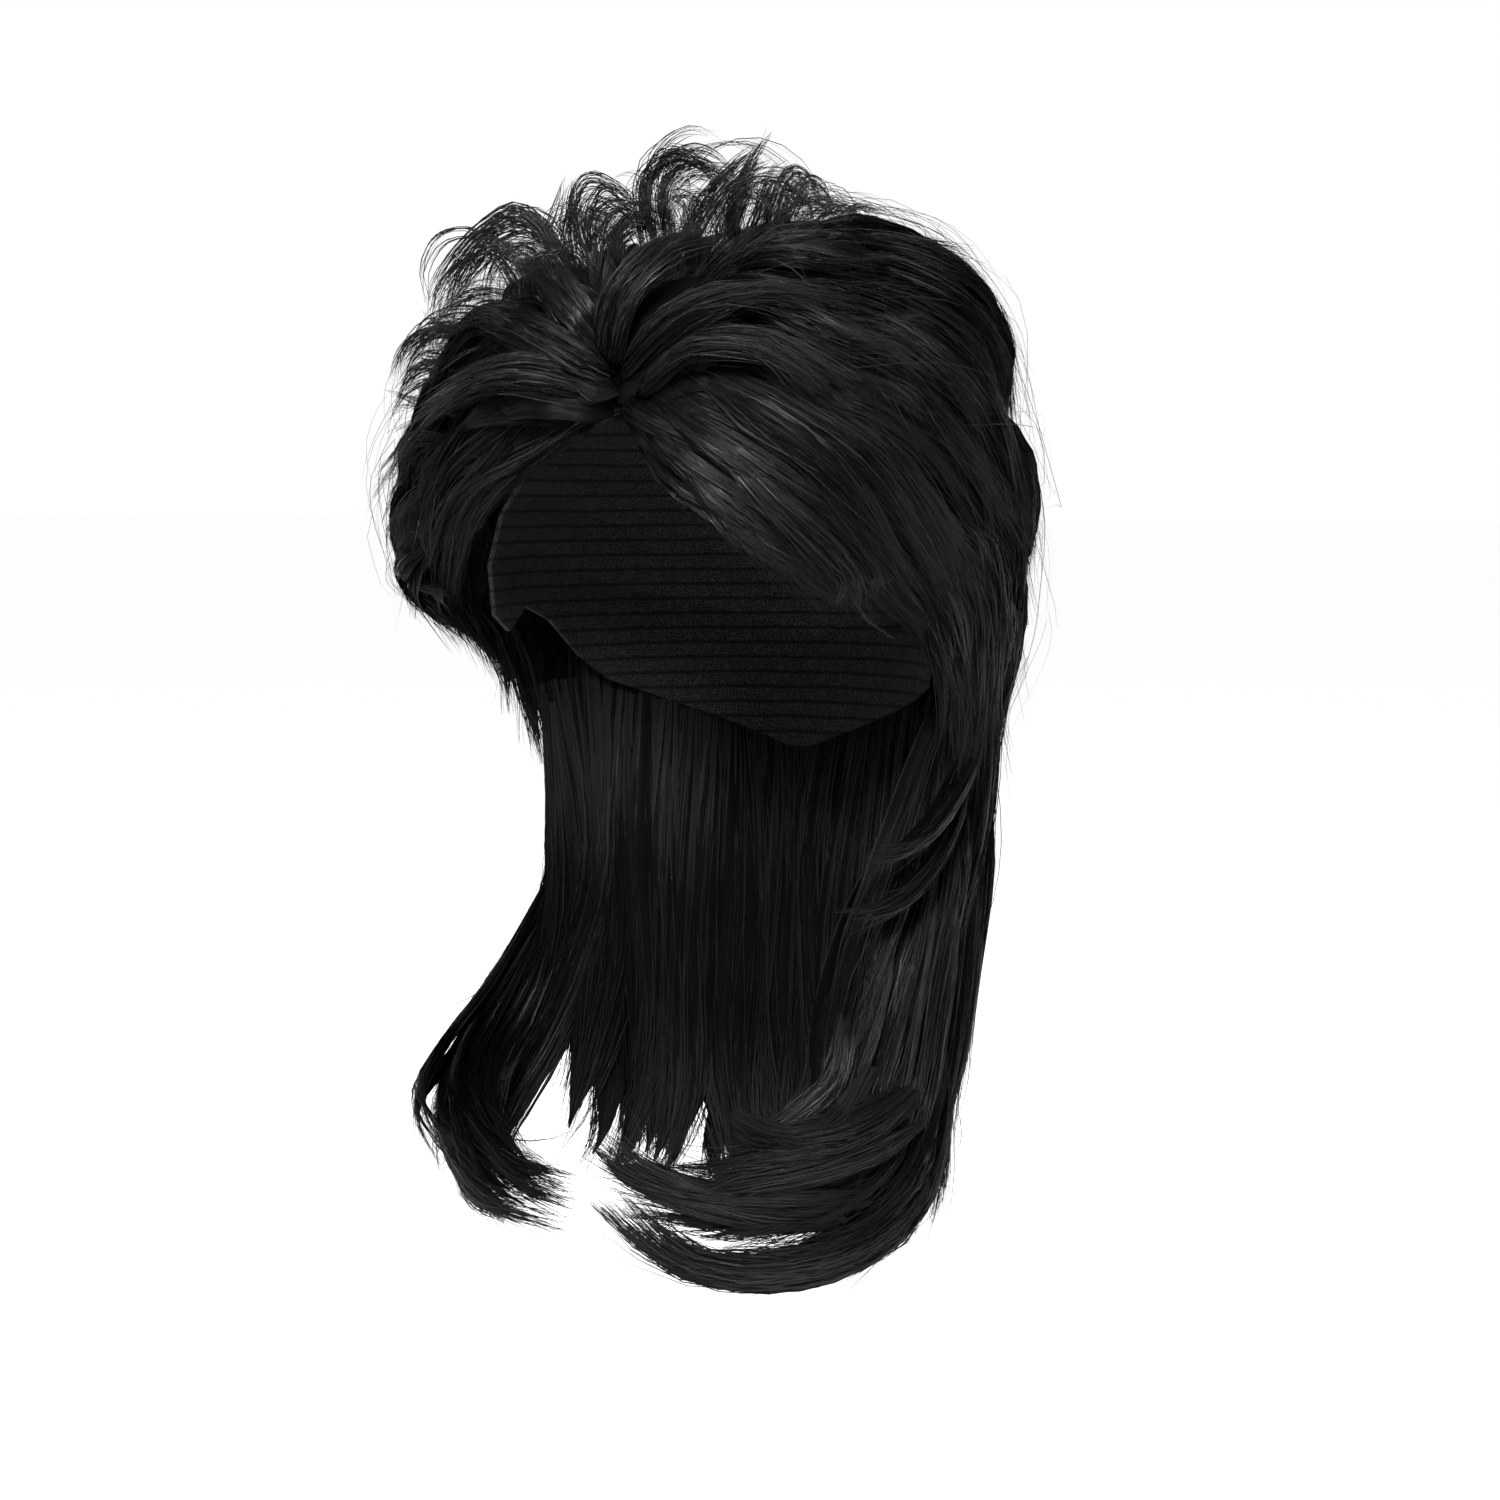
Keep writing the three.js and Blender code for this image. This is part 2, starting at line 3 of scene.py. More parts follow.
import bpy
import numpy as np
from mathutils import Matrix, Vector


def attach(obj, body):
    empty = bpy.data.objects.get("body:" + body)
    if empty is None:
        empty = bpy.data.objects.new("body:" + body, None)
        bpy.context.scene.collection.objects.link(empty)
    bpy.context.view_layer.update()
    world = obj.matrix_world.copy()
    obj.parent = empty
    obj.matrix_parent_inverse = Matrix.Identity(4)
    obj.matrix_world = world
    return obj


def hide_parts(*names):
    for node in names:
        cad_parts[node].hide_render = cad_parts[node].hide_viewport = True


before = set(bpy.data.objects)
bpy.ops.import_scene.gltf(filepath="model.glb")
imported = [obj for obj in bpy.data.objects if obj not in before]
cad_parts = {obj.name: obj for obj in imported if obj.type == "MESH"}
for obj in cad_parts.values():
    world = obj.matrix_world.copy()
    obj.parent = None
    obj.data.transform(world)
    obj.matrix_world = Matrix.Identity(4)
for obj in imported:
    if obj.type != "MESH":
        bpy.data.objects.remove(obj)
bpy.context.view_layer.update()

# Sizes in millimetres, as in the part's source. The wig is worn: origin at the top
# of the head, +Z up, the face side towards -Y, +X towards the wearer's left.
HEAD_HALF_WIDTH = 76.0
HEAD_HALF_LENGTH = 97.0
CROWN_HEIGHT = 92.0
TAIL_DROP = 240.0
HAIR_LOFT = 48.0
METRES = 0.001         # a millimetre in metres
STATIONS = 40          # points along the middle line of a lock
rng = np.random.default_rng(20)

NECK_SECTIONS = [
  {"drop": 1.00, "width": 1.00, "front": 1.00, "back": 1.00},
  {"drop": 1.12, "width": 0.97, "front": 0.98, "back": 0.93},
  {"drop": 1.25, "width": 0.90, "front": 0.90, "back": 0.79},
  {"drop": 1.50, "width": 0.79, "front": 0.60, "back": 0.62},
  {"drop": 1.75, "width": 0.79, "front": 0.58, "back": 0.60},
  {"drop": 2.00, "width": 0.88, "front": 0.66, "back": 0.66},
]

SHEETS = [
  {
    "node": "crown_hair", "locks": 16, "split": 0.70, "flick": 4,
    "guides": [
      {"azimuth": [-12, 20, 44, 64, 86], "drop": [0.40, 0.50, 0.61, 0.75, 0.96],
        "outer": [0.12, 0.60, 0.73, 0.75, 0.66], "inner": 0},
      {"azimuth": [-11, 30, 58, 76, 98], "drop": [0.33, 0.39, 0.49, 0.63, 0.88],
        "outer": [0.15, 0.80, 0.95, 1.00, 0.90], "inner": 0},
      {"azimuth": [-10, 46, 84, 106, 118], "drop": [0.27, 0.28, 0.36, 0.52, 0.80],
        "outer": [0.18, 1.02, 1.30, 1.24, 0.90], "inner": 0},
      {"azimuth": [-11, 64, 124, 138, 146], "drop": [0.22, 0.16, 0.32, 0.54, 0.84],
        "outer": [0.22, 1.05, 1.30, 1.14, 0.84], "inner": 0},
      {"azimuth": [-15, 180, 180, 180, 180], "drop": [0.19, 0.05, 0.30, 0.56, 0.88],
        "outer": [0.25, 1.00, 1.10, 1.04, 0.88], "inner": 0},
      {"azimuth": [-19, -90, -136, -144, -150], "drop": [0.22, 0.20, 0.36, 0.56, 0.86],
        "outer": [0.22, 1.02, 1.10, 1.02, 0.86], "inner": 0},
      {"azimuth": [-21, -74, -108, -118, -124], "drop": [0.28, 0.31, 0.46, 0.64, 0.90],
        "outer": [0.18, 1.10, 1.12, 1.04, 0.88], "inner": 0},
      {"azimuth": [-21, -58, -84, -98, -106], "drop": [0.34, 0.40, 0.55, 0.74, 0.96],
        "outer": [0.15, 1.06, 1.16, 1.12, 0.96], "inner": 0},
      {"azimuth": [-19, -46, -64, -76, -86], "drop": [0.40, 0.46, 0.60, 0.79, 0.99],
        "outer": [0.12, 0.84, 1.04, 1.10, 1.00], "inner": 0},
    ],
 },
  {
    "node": "fringe_left", "locks": 6, "split": 0.60, "flick": 3,
    "guides": [
      {"azimuth": [4, 17, 30, 42, 56], "drop": [0.50, 0.66, 0.80, 0.90, 0.99],
        "outer": [0.10, 0.19, 0.25, 0.29, 0.31], "inner": [0, 0, 0.02, 0.06, 0.12]},
      {"azimuth": [-4, 12, 30, 46, 68], "drop": [0.44, 0.57, 0.70, 0.84, 1.02],
        "outer": [0.12, 0.38, 0.50, 0.50, 0.42], "inner": [0, 0, 0, 0.05, 0.14]},
      {"azimuth": [-10, 18, 40, 60, 82], "drop": [0.37, 0.52, 0.65, 0.80, 1.00],
        "outer": [0.14, 0.56, 0.67, 0.66, 0.54], "inner": [0, 0, 0, 0.05, 0.20]},
    ],
 },
  {
    "node": "fringe_right", "locks": 5, "split": 0.55, "flick": 7,
    "guides": [
      {"azimuth": [0, -12, -28, -42, -62], "drop": [0.50, 0.56, 0.66, 0.78, 0.94],
        "outer": [0.10, 0.15, 0.19, 0.21, 0.24], "inner": [0, 0, 0, 0.02, 0.06]},
      {"azimuth": [-6, -28, -44, -56, -72], "drop": [0.46, 0.53, 0.65, 0.80, 1.02],
        "outer": [0.12, 0.36, 0.44, 0.48, 0.50], "inner": [0, 0, 0, 0.04, 0.16]},
      {"azimuth": [-12, -40, -58, -70, -80], "drop": [0.41, 0.48, 0.62, 0.80, 1.02],
        "outer": [0.14, 0.56, 0.66, 0.70, 0.66], "inner": [0, 0, 0, 0.05, 0.22]},
    ],
 },
  {
    "node": "side_left", "locks": 5, "split": 0.62, "flick": 3,
    "guides": [
      {"azimuth": [66, 66, 74, 80, 84], "drop": [0.80, 0.92, 1.01, 1.10, 1.24],
        "outer": [0.16, 0.38, 0.46, 0.46, 0.40], "inner": [0, 0.06, 0.14, 0.24, 0.28]},
      {"azimuth": [84, 84, 88, 94, 98], "drop": [0.70, 0.86, 1.00, 1.14, 1.30],
        "outer": [0.21, 0.72, 0.76, 0.62, 0.56], "inner": [0, 0.06, 0.18, 0.32, 0.34]},
      {"azimuth": [112, 110, 112, 116, 118], "drop": [0.66, 0.84, 1.02, 1.16, 1.32],
        "outer": [0.21, 0.94, 0.86, 0.64, 0.54], "inner": [0, 0, 0, 0.08, 0.20]},
    ],
 },
  {
    "node": "side_right", "locks": 5, "split": 0.55, "flick": 6,
    "guides": [
      {"azimuth": [-60, -64, -69, -74, -80], "drop": [0.76, 0.86, 0.94, 1.00, 1.06],
        "outer": [0.20, 0.56, 0.76, 0.66, 0.32], "inner": [0, 0.06, 0.16, 0.22, 0.20]},
      {"azimuth": [-84, -84, -88, -93, -98], "drop": [0.68, 0.82, 0.93, 1.02, 1.12],
        "outer": [0.21, 0.80, 0.90, 0.70, 0.40], "inner": [0, 0.06, 0.18, 0.30, 0.26]},
      {"azimuth": [-112, -110, -112, -116, -118], "drop": [0.66, 0.84, 1.02, 1.16, 1.32],
        "outer": [0.21, 0.84, 0.86, 0.74, 0.56], "inner": [0, 0, 0, 0.08, 0.20]},
    ],
 },
  {
    "node": "back_hair", "locks": 7, "split": 0.66, "flick": 4,
    "guides": [
      {"azimuth": [112, 112, 114, 116, 118], "drop": [0.60, 0.80, 1.00, 1.18, 1.36],
        "outer": [0.21, 0.90, 0.82, 0.62, 0.54], "inner": [0, 0, 0, 0.02, 0.14]},
      {"azimuth": [180, 180, 180, 180, 180], "drop": [0.60, 0.80, 1.00, 1.22, 1.46],
        "outer": [0.21, 0.78, 0.86, 0.86, 0.84], "inner": [0, 0, 0, 0.04, 0.40]},
      {"azimuth": [-112, -112, -114, -116, -118], "drop": [0.60, 0.80, 1.00, 1.18, 1.36],
        "outer": [0.21, 0.84, 0.84, 0.70, 0.58], "inner": [0, 0, 0, 0.02, 0.14]},
    ],
 },
  {
    "node": "tail_left", "locks": 8, "split": 0.66, "flick": 4,
    "guides": [
      {"azimuth": [101, 76, 61, 54, 50, 34, 14], "drop": [1.12, 1.31, 1.46, 1.59, 1.68, 1.75, 1.77],
        "outer": [0.20, 0.36, 0.46, 0.50, 0.54, 0.54, 0.52],
        "inner": [0.04, 0.10, 0.14, 0.2, 0.28, 0.32, 0.36]},
      {"azimuth": [106, 92, 81, 72, 56, 30, 4], "drop": [1.08, 1.35, 1.54, 1.70, 1.80, 1.86, 1.83],
        "outer": [0.24, 0.58, 0.64, 0.64, 0.67, 0.71, 0.66],
        "inner": [0.04, 0.06, 0.10, 0.16, 0.3, 0.36, 0.46]},
      {"azimuth": [118, 110, 104, 94, 76, 52, 30], "drop": [1.04, 1.34, 1.56, 1.74, 1.85, 1.91, 1.93],
        "outer": [0.28, 0.66, 0.68, 0.58, 0.62, 0.74, 0.78],
        "inner": [0.04, 0.06, 0.10, 0.16, 0.26, 0.42, 0.56]},
      {"azimuth": [128, 124, 121, 116, 108, 94, 78], "drop": [1.03, 1.30, 1.50, 1.66, 1.78, 1.86, 1.91],
        "outer": [0.28, 0.68, 0.70, 0.58, 0.48, 0.46, 0.50],
        "inner": [0.04, 0.08, 0.14, 0.16, 0.16, 0.2, 0.3]},
    ],
 },
  {
    "node": "tail_back", "locks": 7, "split": 0.70, "flick": 5,
    "guides": [
      {"azimuth": [126, 124, 122, 119, 114, 106], "drop": [1.04, 1.34, 1.55, 1.72, 1.83, 1.90],
        "outer": [0.28, 0.68, 0.68, 0.56, 0.46, 0.42], "inner": [0.04, 0.08, 0.14, 0.16, 0.16, 0.2]},
      {"azimuth": [180, 180, 180, 180, 180, 180], "drop": [1.02, 1.34, 1.60, 1.78, 1.90, 1.98],
        "outer": [0.28, 0.80, 0.86, 0.78, 0.64, 0.54], "inner": [0.04, 0.16, 0.28, 0.30, 0.28, 0.28]},
      {"azimuth": [-126, -124, -122, -118, -113, -105], "drop": [1.04, 1.34, 1.55, 1.72, 1.83, 1.90],
        "outer": [0.28, 0.60, 0.68, 0.66, 0.58, 0.50], "inner": [0.04, 0.06, 0.12, 0.2, 0.24, 0.26]},
    ],
 },
  {
    "node": "tail_right", "locks": 7, "split": 0.52, "flick": 8,
    "guides": [
      {"azimuth": [-104, -103, -103, -98, -78, -44, -20], "drop": [1.14, 1.34, 1.48, 1.62, 1.72, 1.79, 1.82],
        "outer": [0.20, 0.28, 0.34, 0.50, 0.62, 0.46, 0.40],
        "inner": [0.04, 0.06, 0.1, 0.18, 0.3, 0.2, 0.2]},
      {"azimuth": [-106, -112, -109, -98, -74, -36, -8], "drop": [1.10, 1.34, 1.48, 1.64, 1.77, 1.84, 1.85],
        "outer": [0.24, 0.42, 0.62, 0.92, 0.88, 0.54, 0.46],
        "inner": [0.04, 0.06, 0.14, 0.36, 0.5, 0.26, 0.26]},
      {"azimuth": [-118, -118, -114, -104, -84, -54, -24],
        "drop": [1.04, 1.34, 1.50, 1.67, 1.79, 1.86, 1.88],
        "outer": [0.28, 0.52, 0.72, 0.98, 0.92, 0.66, 0.56],
        "inner": [0.04, 0.06, 0.16, 0.4, 0.52, 0.38, 0.38]},
      {"azimuth": [-128, -124, -121, -115, -104, -88, -70],
        "drop": [1.03, 1.32, 1.50, 1.66, 1.78, 1.85, 1.88],
        "outer": [0.28, 0.58, 0.72, 0.80, 0.78, 0.62, 0.50],
        "inner": [0.04, 0.06, 0.14, 0.30, 0.40, 0.34, 0.3]},
    ],
 },
]

CURLS = [
  {"azimuth": 24, "drop": 0.12, "start": 0.84, "lean": 110, "size": 1.30, "turn": 190},
  {"azimuth": -30, "drop": 0.12, "start": 0.84, "lean": 120, "size": 1.30, "turn": 190},
  {"azimuth": 84, "drop": 0.17, "start": 0.90, "lean": 110, "size": 1.00, "turn": 150},
  {"azimuth": -48, "drop": 0.18, "start": 0.80, "lean": 250, "size": 1.15, "turn": 190},
  {"azimuth": 150, "drop": 0.10, "start": 0.86, "lean": 160, "size": 1.00, "turn": 160},
  {"azimuth": -66, "drop": 0.27, "start": 0.80, "lean": 280, "size": 1.25, "turn": 180},
  {"azimuth": -36, "drop": 0.27, "start": 0.70, "lean": 320, "size": 1.05, "turn": 170},
  {"azimuth": -92, "drop": 0.28, "start": 0.84, "lean": 250, "size": 1.05, "turn": 160},
  {"azimuth": -56, "drop": 0.38, "start": 0.74, "lean": 310, "size": 1.05, "turn": 140},
  {"azimuth": -78, "drop": 0.46, "start": 0.86, "lean": 280, "size": 0.95, "turn": 140},
  {"azimuth": 100, "drop": 0.26, "start": 1.00, "lean": 100, "size": 0.75, "turn": 140},
]


# How each sheet is dressed with locks. Between: shares across the guides; start and
# length: shares along them; deep: share of the depth under the outer face; then the
# width, thickness, sideways wave and waves along the sheet, tip flick, loose strands.
# Locks deeper than FACING look inwards, towards the head.
FACING = 0.70
CLEAR_OF_CAP = 3.0     # locks keep this far above the head, where the cap lies
LAYERS = [
    # sheet, between, count, start, length, deep, width, thick, wave, waves, flick, strands
    ("crown_hair", (0.0, 1.0), 18, (0.00, 0.04), (0.92, 0.98), (0.52, 0.66), 34, 8, 1.0, 1.0, 0, 0),
    ("crown_hair", (0.0, 1.0), 22, (0.00, 0.04), (0.92, 1.00), (0.24, 0.36), 28, 7, 1.5, 1.5, 0, 0),
    ("crown_hair", (0.0, 1.0), 36, (0.00, 0.05), (0.88, 1.00), (0.08, 0.18), 19, 5, 3.5, 2.2, 3, 120),
    ("crown_hair", (0.0, 0.5), 44, (0.02, 0.55), (0.30, 0.60), (0.00, 0.08), 12, 4, 6.0, 2.4, 6, 130),
    ("crown_hair", (0.5, 1.0), 26, (0.00, 0.45), (0.28, 0.60), (0.00, 0.08), 11, 4, 5.0, 2.6, 10, 84),
    ("crown_hair", (0.62, 1.0), 30, (0.02, 0.62), (0.16, 0.34), (-0.04, 0.04), 8, 3, 4.0, 3.5, 20, 70),
    ("fringe_left", (0.0, 1.0), 8, (0.00, 0.04), (0.90, 1.00), (0.40, 0.60), 14, 4, 1.0, 1.0, 1, 20),
    ("fringe_left", (0.0, 1.0), 12, (0.00, 0.04), (0.90, 1.00), (0.10, 0.30), 12, 4, 1.5, 1.2, 2, 60),
    ("fringe_left", (0.0, 1.0), 15, (0.00, 0.25), (0.55, 0.85), (0.00, 0.10), 8, 3, 2.5, 1.8, 4, 120),
    ("fringe_right", (0.0, 1.0), 7, (0.00, 0.04), (0.90, 1.00), (0.40, 0.60), 14, 4, 1.0, 1.0, 1, 20),
    ("fringe_right", (0.0, 1.0), 11, (0.00, 0.04), (0.90, 1.00), (0.10, 0.30), 12, 4, 1.5, 1.2, 3, 60),
    ("fringe_right", (0.0, 1.0), 14, (0.00, 0.25), (0.50, 0.85), (0.00, 0.10), 8, 3, 3.0, 1.6, 8, 96),
    ("side_left", (0.0, 1.0), 9, (0.00, 0.03), (0.90, 0.97), (0.42, 0.60), 24, 7, 1.0, 1.0, 0, 10),
    ("side_left", (0.0, 1.0), 11, (0.00, 0.04), (0.90, 1.00), (0.10, 0.25), 15, 5, 2.0, 1.4, 3, 60),
    ("side_left", (0.0, 1.0), 16, (0.00, 0.40), (0.45, 0.80), (0.00, 0.10), 9, 4, 3.0, 1.8, 6, 110),
    ("side_right", (0.0, 1.0), 9, (0.00, 0.03), (0.90, 0.97), (0.42, 0.60), 24, 7, 1.0, 1.0, 0, 10),
    ("side_right", (0.0, 1.0), 11, (0.00, 0.04), (0.90, 1.00), (0.10, 0.25), 15, 5, 2.5, 1.6, 4, 60),
    ("side_right", (0.0, 1.0), 18, (0.00, 0.45), (0.35, 0.70), (0.00, 0.10), 9, 4, 3.5, 2.0, 6, 100),
    ("back_hair", (0.0, 1.0), 12, (0.00, 0.03), (0.90, 0.97), (0.42, 0.60), 36, 8, 1.0, 1.0, 0, 10),
    ("back_hair", (0.0, 1.0), 15, (0.00, 0.04), (0.90, 1.00), (0.10, 0.22), 22, 5, 2.0, 1.4, 3, 60),
    ("back_hair", (0.0, 1.0), 26, (0.00, 0.45), (0.40, 0.75), (0.00, 0.10), 12, 4, 3.5, 1.8, 7, 80),
    ("tail_left", (0.0, 1.0), 14, (0.00, 0.04), (0.90, 1.00), (0.16, 0.36), 16, 5, 2.0, 1.2, 3, 96),
    ("tail_left", (0.0, 1.0), 24, (0.00, 0.50), (0.40, 0.75), (0.00, 0.12), 9, 4, 3.0, 1.6, 8, 104),
    ("tail_left", (0.0, 1.0), 10, (0.00, 0.04), (0.88, 0.97), (0.74, 0.90), 17, 4, 1.5, 1.2, 2, 30),
    ("tail_back", (0.0, 1.0), 12, (0.00, 0.04), (0.92, 1.00), (0.14, 0.34), 21, 5, 2.0, 1.2, 3, 50),
    ("tail_back", (0.0, 1.0), 22, (0.00, 0.45), (0.45, 0.80), (0.00, 0.10), 12, 4, 3.5, 1.6, 8, 90),
    ("tail_back", (0.0, 1.0), 20, (0.00, 0.04), (0.88, 1.00), (0.74, 0.94), 26, 4, 2.5, 1.4, 2, 50),
    ("tail_right", (0.0, 1.0), 10, (0.00, 0.04), (0.90, 1.00), (0.16, 0.36), 15, 5, 2.5, 1.2, 4, 70),
    ("tail_right", (0.0, 1.0), 20, (0.00, 0.50), (0.40, 0.75), (0.00, 0.12), 9, 4, 4.5, 1.6, 10, 100),
    ("tail_right", (0.0, 1.0), 9, (0.00, 0.04), (0.88, 0.97), (0.74, 0.90), 15, 4, 1.5, 1.2, 2, 50),
]

# Single flicks and loops seen at the edges: how many locks, their spread over the form
# and the points of their path, each with an azimuth, a drop and a height share.
ACCENTS = [
    # node, count, spread, width, thick, strands, path
    ("tail_left", 5, 1.6, 9, 4, 90,
     [(70.6, 1.688, 0.62), (56.4, 1.726, 0.66), (45.2, 1.745, 0.68),
      (36.4, 1.742, 0.68), (29.0, 1.721, 0.66)]),
    ("tail_left", 4, 1.6, 6, 3, 70,
     [(54.8, 1.824, 0.70), (38.8, 1.821, 0.74), (23.6, 1.811, 0.74),
      (10.0, 1.792, 0.72), (-0.6, 1.760, 0.70)]),
    ("tail_left", 5, 2.4, 9, 4, 80,
     [(72.0, 1.740, 0.62), (56.0, 1.762, 0.68), (39.2, 1.783, 0.72),
      (27.6, 1.793, 0.74), (18.6, 1.804, 0.74)]),
    ("tail_left", 3, 1.2, 5, 2, 34,
     [(100.0, 1.120, 0.50), (90.0, 1.230, 0.54), (79.0, 1.300, 0.56),
      (68.0, 1.336, 0.56), (58.0, 1.346, 0.56)]),
    ("tail_left", 3, 1.4, 5, 2, 34,
     [(98.0, 1.190, 0.50), (88.0, 1.310, 0.54), (76.0, 1.385, 0.56),
      (64.0, 1.420, 0.56), (53.0, 1.424, 0.56)]),
    ("tail_left", 5, 1.6, 9, 4, 90,
     [(80.0, 1.800, 0.56), (70.0, 1.862, 0.64), (52.0, 1.908, 0.72), (33.0, 1.922, 0.76), (16.8, 1.900, 0.76),
      (1.2, 1.828, 0.72)]),
    ("tail_left", 4, 1.2, 6, 3, 60,
     [(62.0, 1.660, 0.58), (52.0, 1.724, 0.64), (43.8, 1.738, 0.68),
      (36.6, 1.738, 0.70), (27.2, 1.707, 0.70)]),
    ("tail_left", 4, 1.4, 7, 3, 60,
     [(50.4, 1.858, 0.70), (34.6, 1.844, 0.72), (22.2, 1.825, 0.74),
      (8.2, 1.790, 0.74), (-2.6, 1.745, 0.72)]),
    ("fringe_left", 5, 1.2, 3, 1, 18,
     [(3.0, 0.520, 0.08), (17.4, 0.700, 0.18), (29.6, 0.786, 0.22),
      (41.2, 0.860, 0.26), (51.8, 0.926, 0.28)]),
    ("tail_left", 6, 4.0, 14, 4, 30,
     [(112.0, 1.120, 0.44), (110.0, 1.220, 0.56), (108.0, 1.330, 0.62),
      (106.0, 1.440, 0.60), (103.0, 1.540, 0.54)]),
    ("fringe_left", 4, 2.0, 7, 3, 60,
     [(36.0, 0.740, 0.44), (43.0, 0.810, 0.46), (50.0, 0.880, 0.46),
      (54.0, 0.940, 0.46), (53.0, 0.985, 0.48)]),
    ("crown_hair", 7, 3.5, 15, 5, 100,
     [(28.0, 0.540, 0.56), (42.0, 0.630, 0.64), (55.0, 0.720, 0.68),
      (64.0, 0.830, 0.68), (74.0, 0.960, 0.62)]),
    ("crown_hair", 5, 2.2, 9, 3, 100,
     [(-5.0, 0.430, 0.20), (-3.5, 0.435, 0.46), (0.8, 0.397, 0.78),
      (10.0, 0.319, 0.96), (24.0, 0.255, 0.96)]),
    ("crown_hair", 6, 2.4, 10, 3, 100,
     [(0.0, 0.460, 0.18), (7.0, 0.470, 0.46), (17.2, 0.462, 0.80), (30.0, 0.449, 1.00), (43.8, 0.460, 1.02)]),
    ("crown_hair", 6, 2.4, 10, 3, 100,
     [(6.0, 0.515, 0.16), (15.0, 0.525, 0.46), (25.0, 0.525, 0.78),
      (37.8, 0.557, 0.90), (48.0, 0.634, 0.90)]),
    ("crown_hair", 6, 2.4, 9, 3, 100,
     [(-8.0, 0.420, 0.20), (-10.0, 0.425, 0.46), (-16.6, 0.406, 0.82),
      (-38.0, 0.340, 0.96), (-58.0, 0.330, 1.02)]),
    ("crown_hair", 6, 2.4, 9, 3, 100,
     [(-6.0, 0.465, 0.16), (-11.0, 0.480, 0.48), (-23.6, 0.470, 0.76),
      (-46.0, 0.450, 0.90), (-66.0, 0.480, 0.92)]),
    ("crown_hair", 5, 2.4, 9, 3, 100,
     [(-7.0, 0.500, 0.10), (-14.0, 0.520, 0.38), (-24.0, 0.553, 0.66),
      (-36.0, 0.600, 0.74), (-62.0, 0.660, 0.78)]),
    ("side_right", 5, 1.5, 7, 4, 80,
     [(-78.0, 0.740, 0.78), (-76.4, 0.810, 0.86), (-76.0, 0.880, 0.82),
      (-72.0, 0.945, 0.64), (-62.0, 0.970, 0.34)]),
    ("back_hair", 6, 6.0, 22, 4, 20,
     [(118.0, 0.560, 0.32), (118.0, 0.660, 0.34), (118.0, 0.760, 0.35),
      (118.0, 0.860, 0.36), (118.0, 0.980, 0.36)]),
    ("back_hair", 12, 11.0, 24, 8, 24,
     [(124.0, 0.480, 0.40), (124.0, 0.600, 0.62), (124.0, 0.720, 0.74),
      (124.0, 0.840, 0.74), (124.0, 0.960, 0.66)]),
    ("back_hair", 6, 3.0, 16, 4, 30,
     [(-113.0, 0.820, 0.24), (-114.0, 0.920, 0.34), (-116.0, 1.020, 0.36),
      (-118.0, 1.120, 0.36), (-119.0, 1.220, 0.38)]),
    ("side_left", 8, 6.0, 18, 4, 40,
     [(98.0, 0.500, 0.36), (98.0, 0.620, 0.52), (98.0, 0.740, 0.62),
      (98.0, 0.860, 0.62), (98.0, 0.980, 0.54)]),
    ("tail_right", 5, 3.0, 4, 2, 40,
     [(-106.0, 1.440, 0.30), (-94.0, 1.590, 0.62), (-84.0, 1.690, 0.90),
      (-64.0, 1.760, 1.00), (-40.0, 1.830, 0.80)]),
]

# Denser, lower locks fill the space under those of the crown
ACCENTS += [
    (node, 3, 3.0, 20, 6, 10, [(azimuth, drop, 0.7 * height) for azimuth, drop, height in path])
    for node, _, _, _, _, _, path in ACCENTS if node == "crown_hair"
]

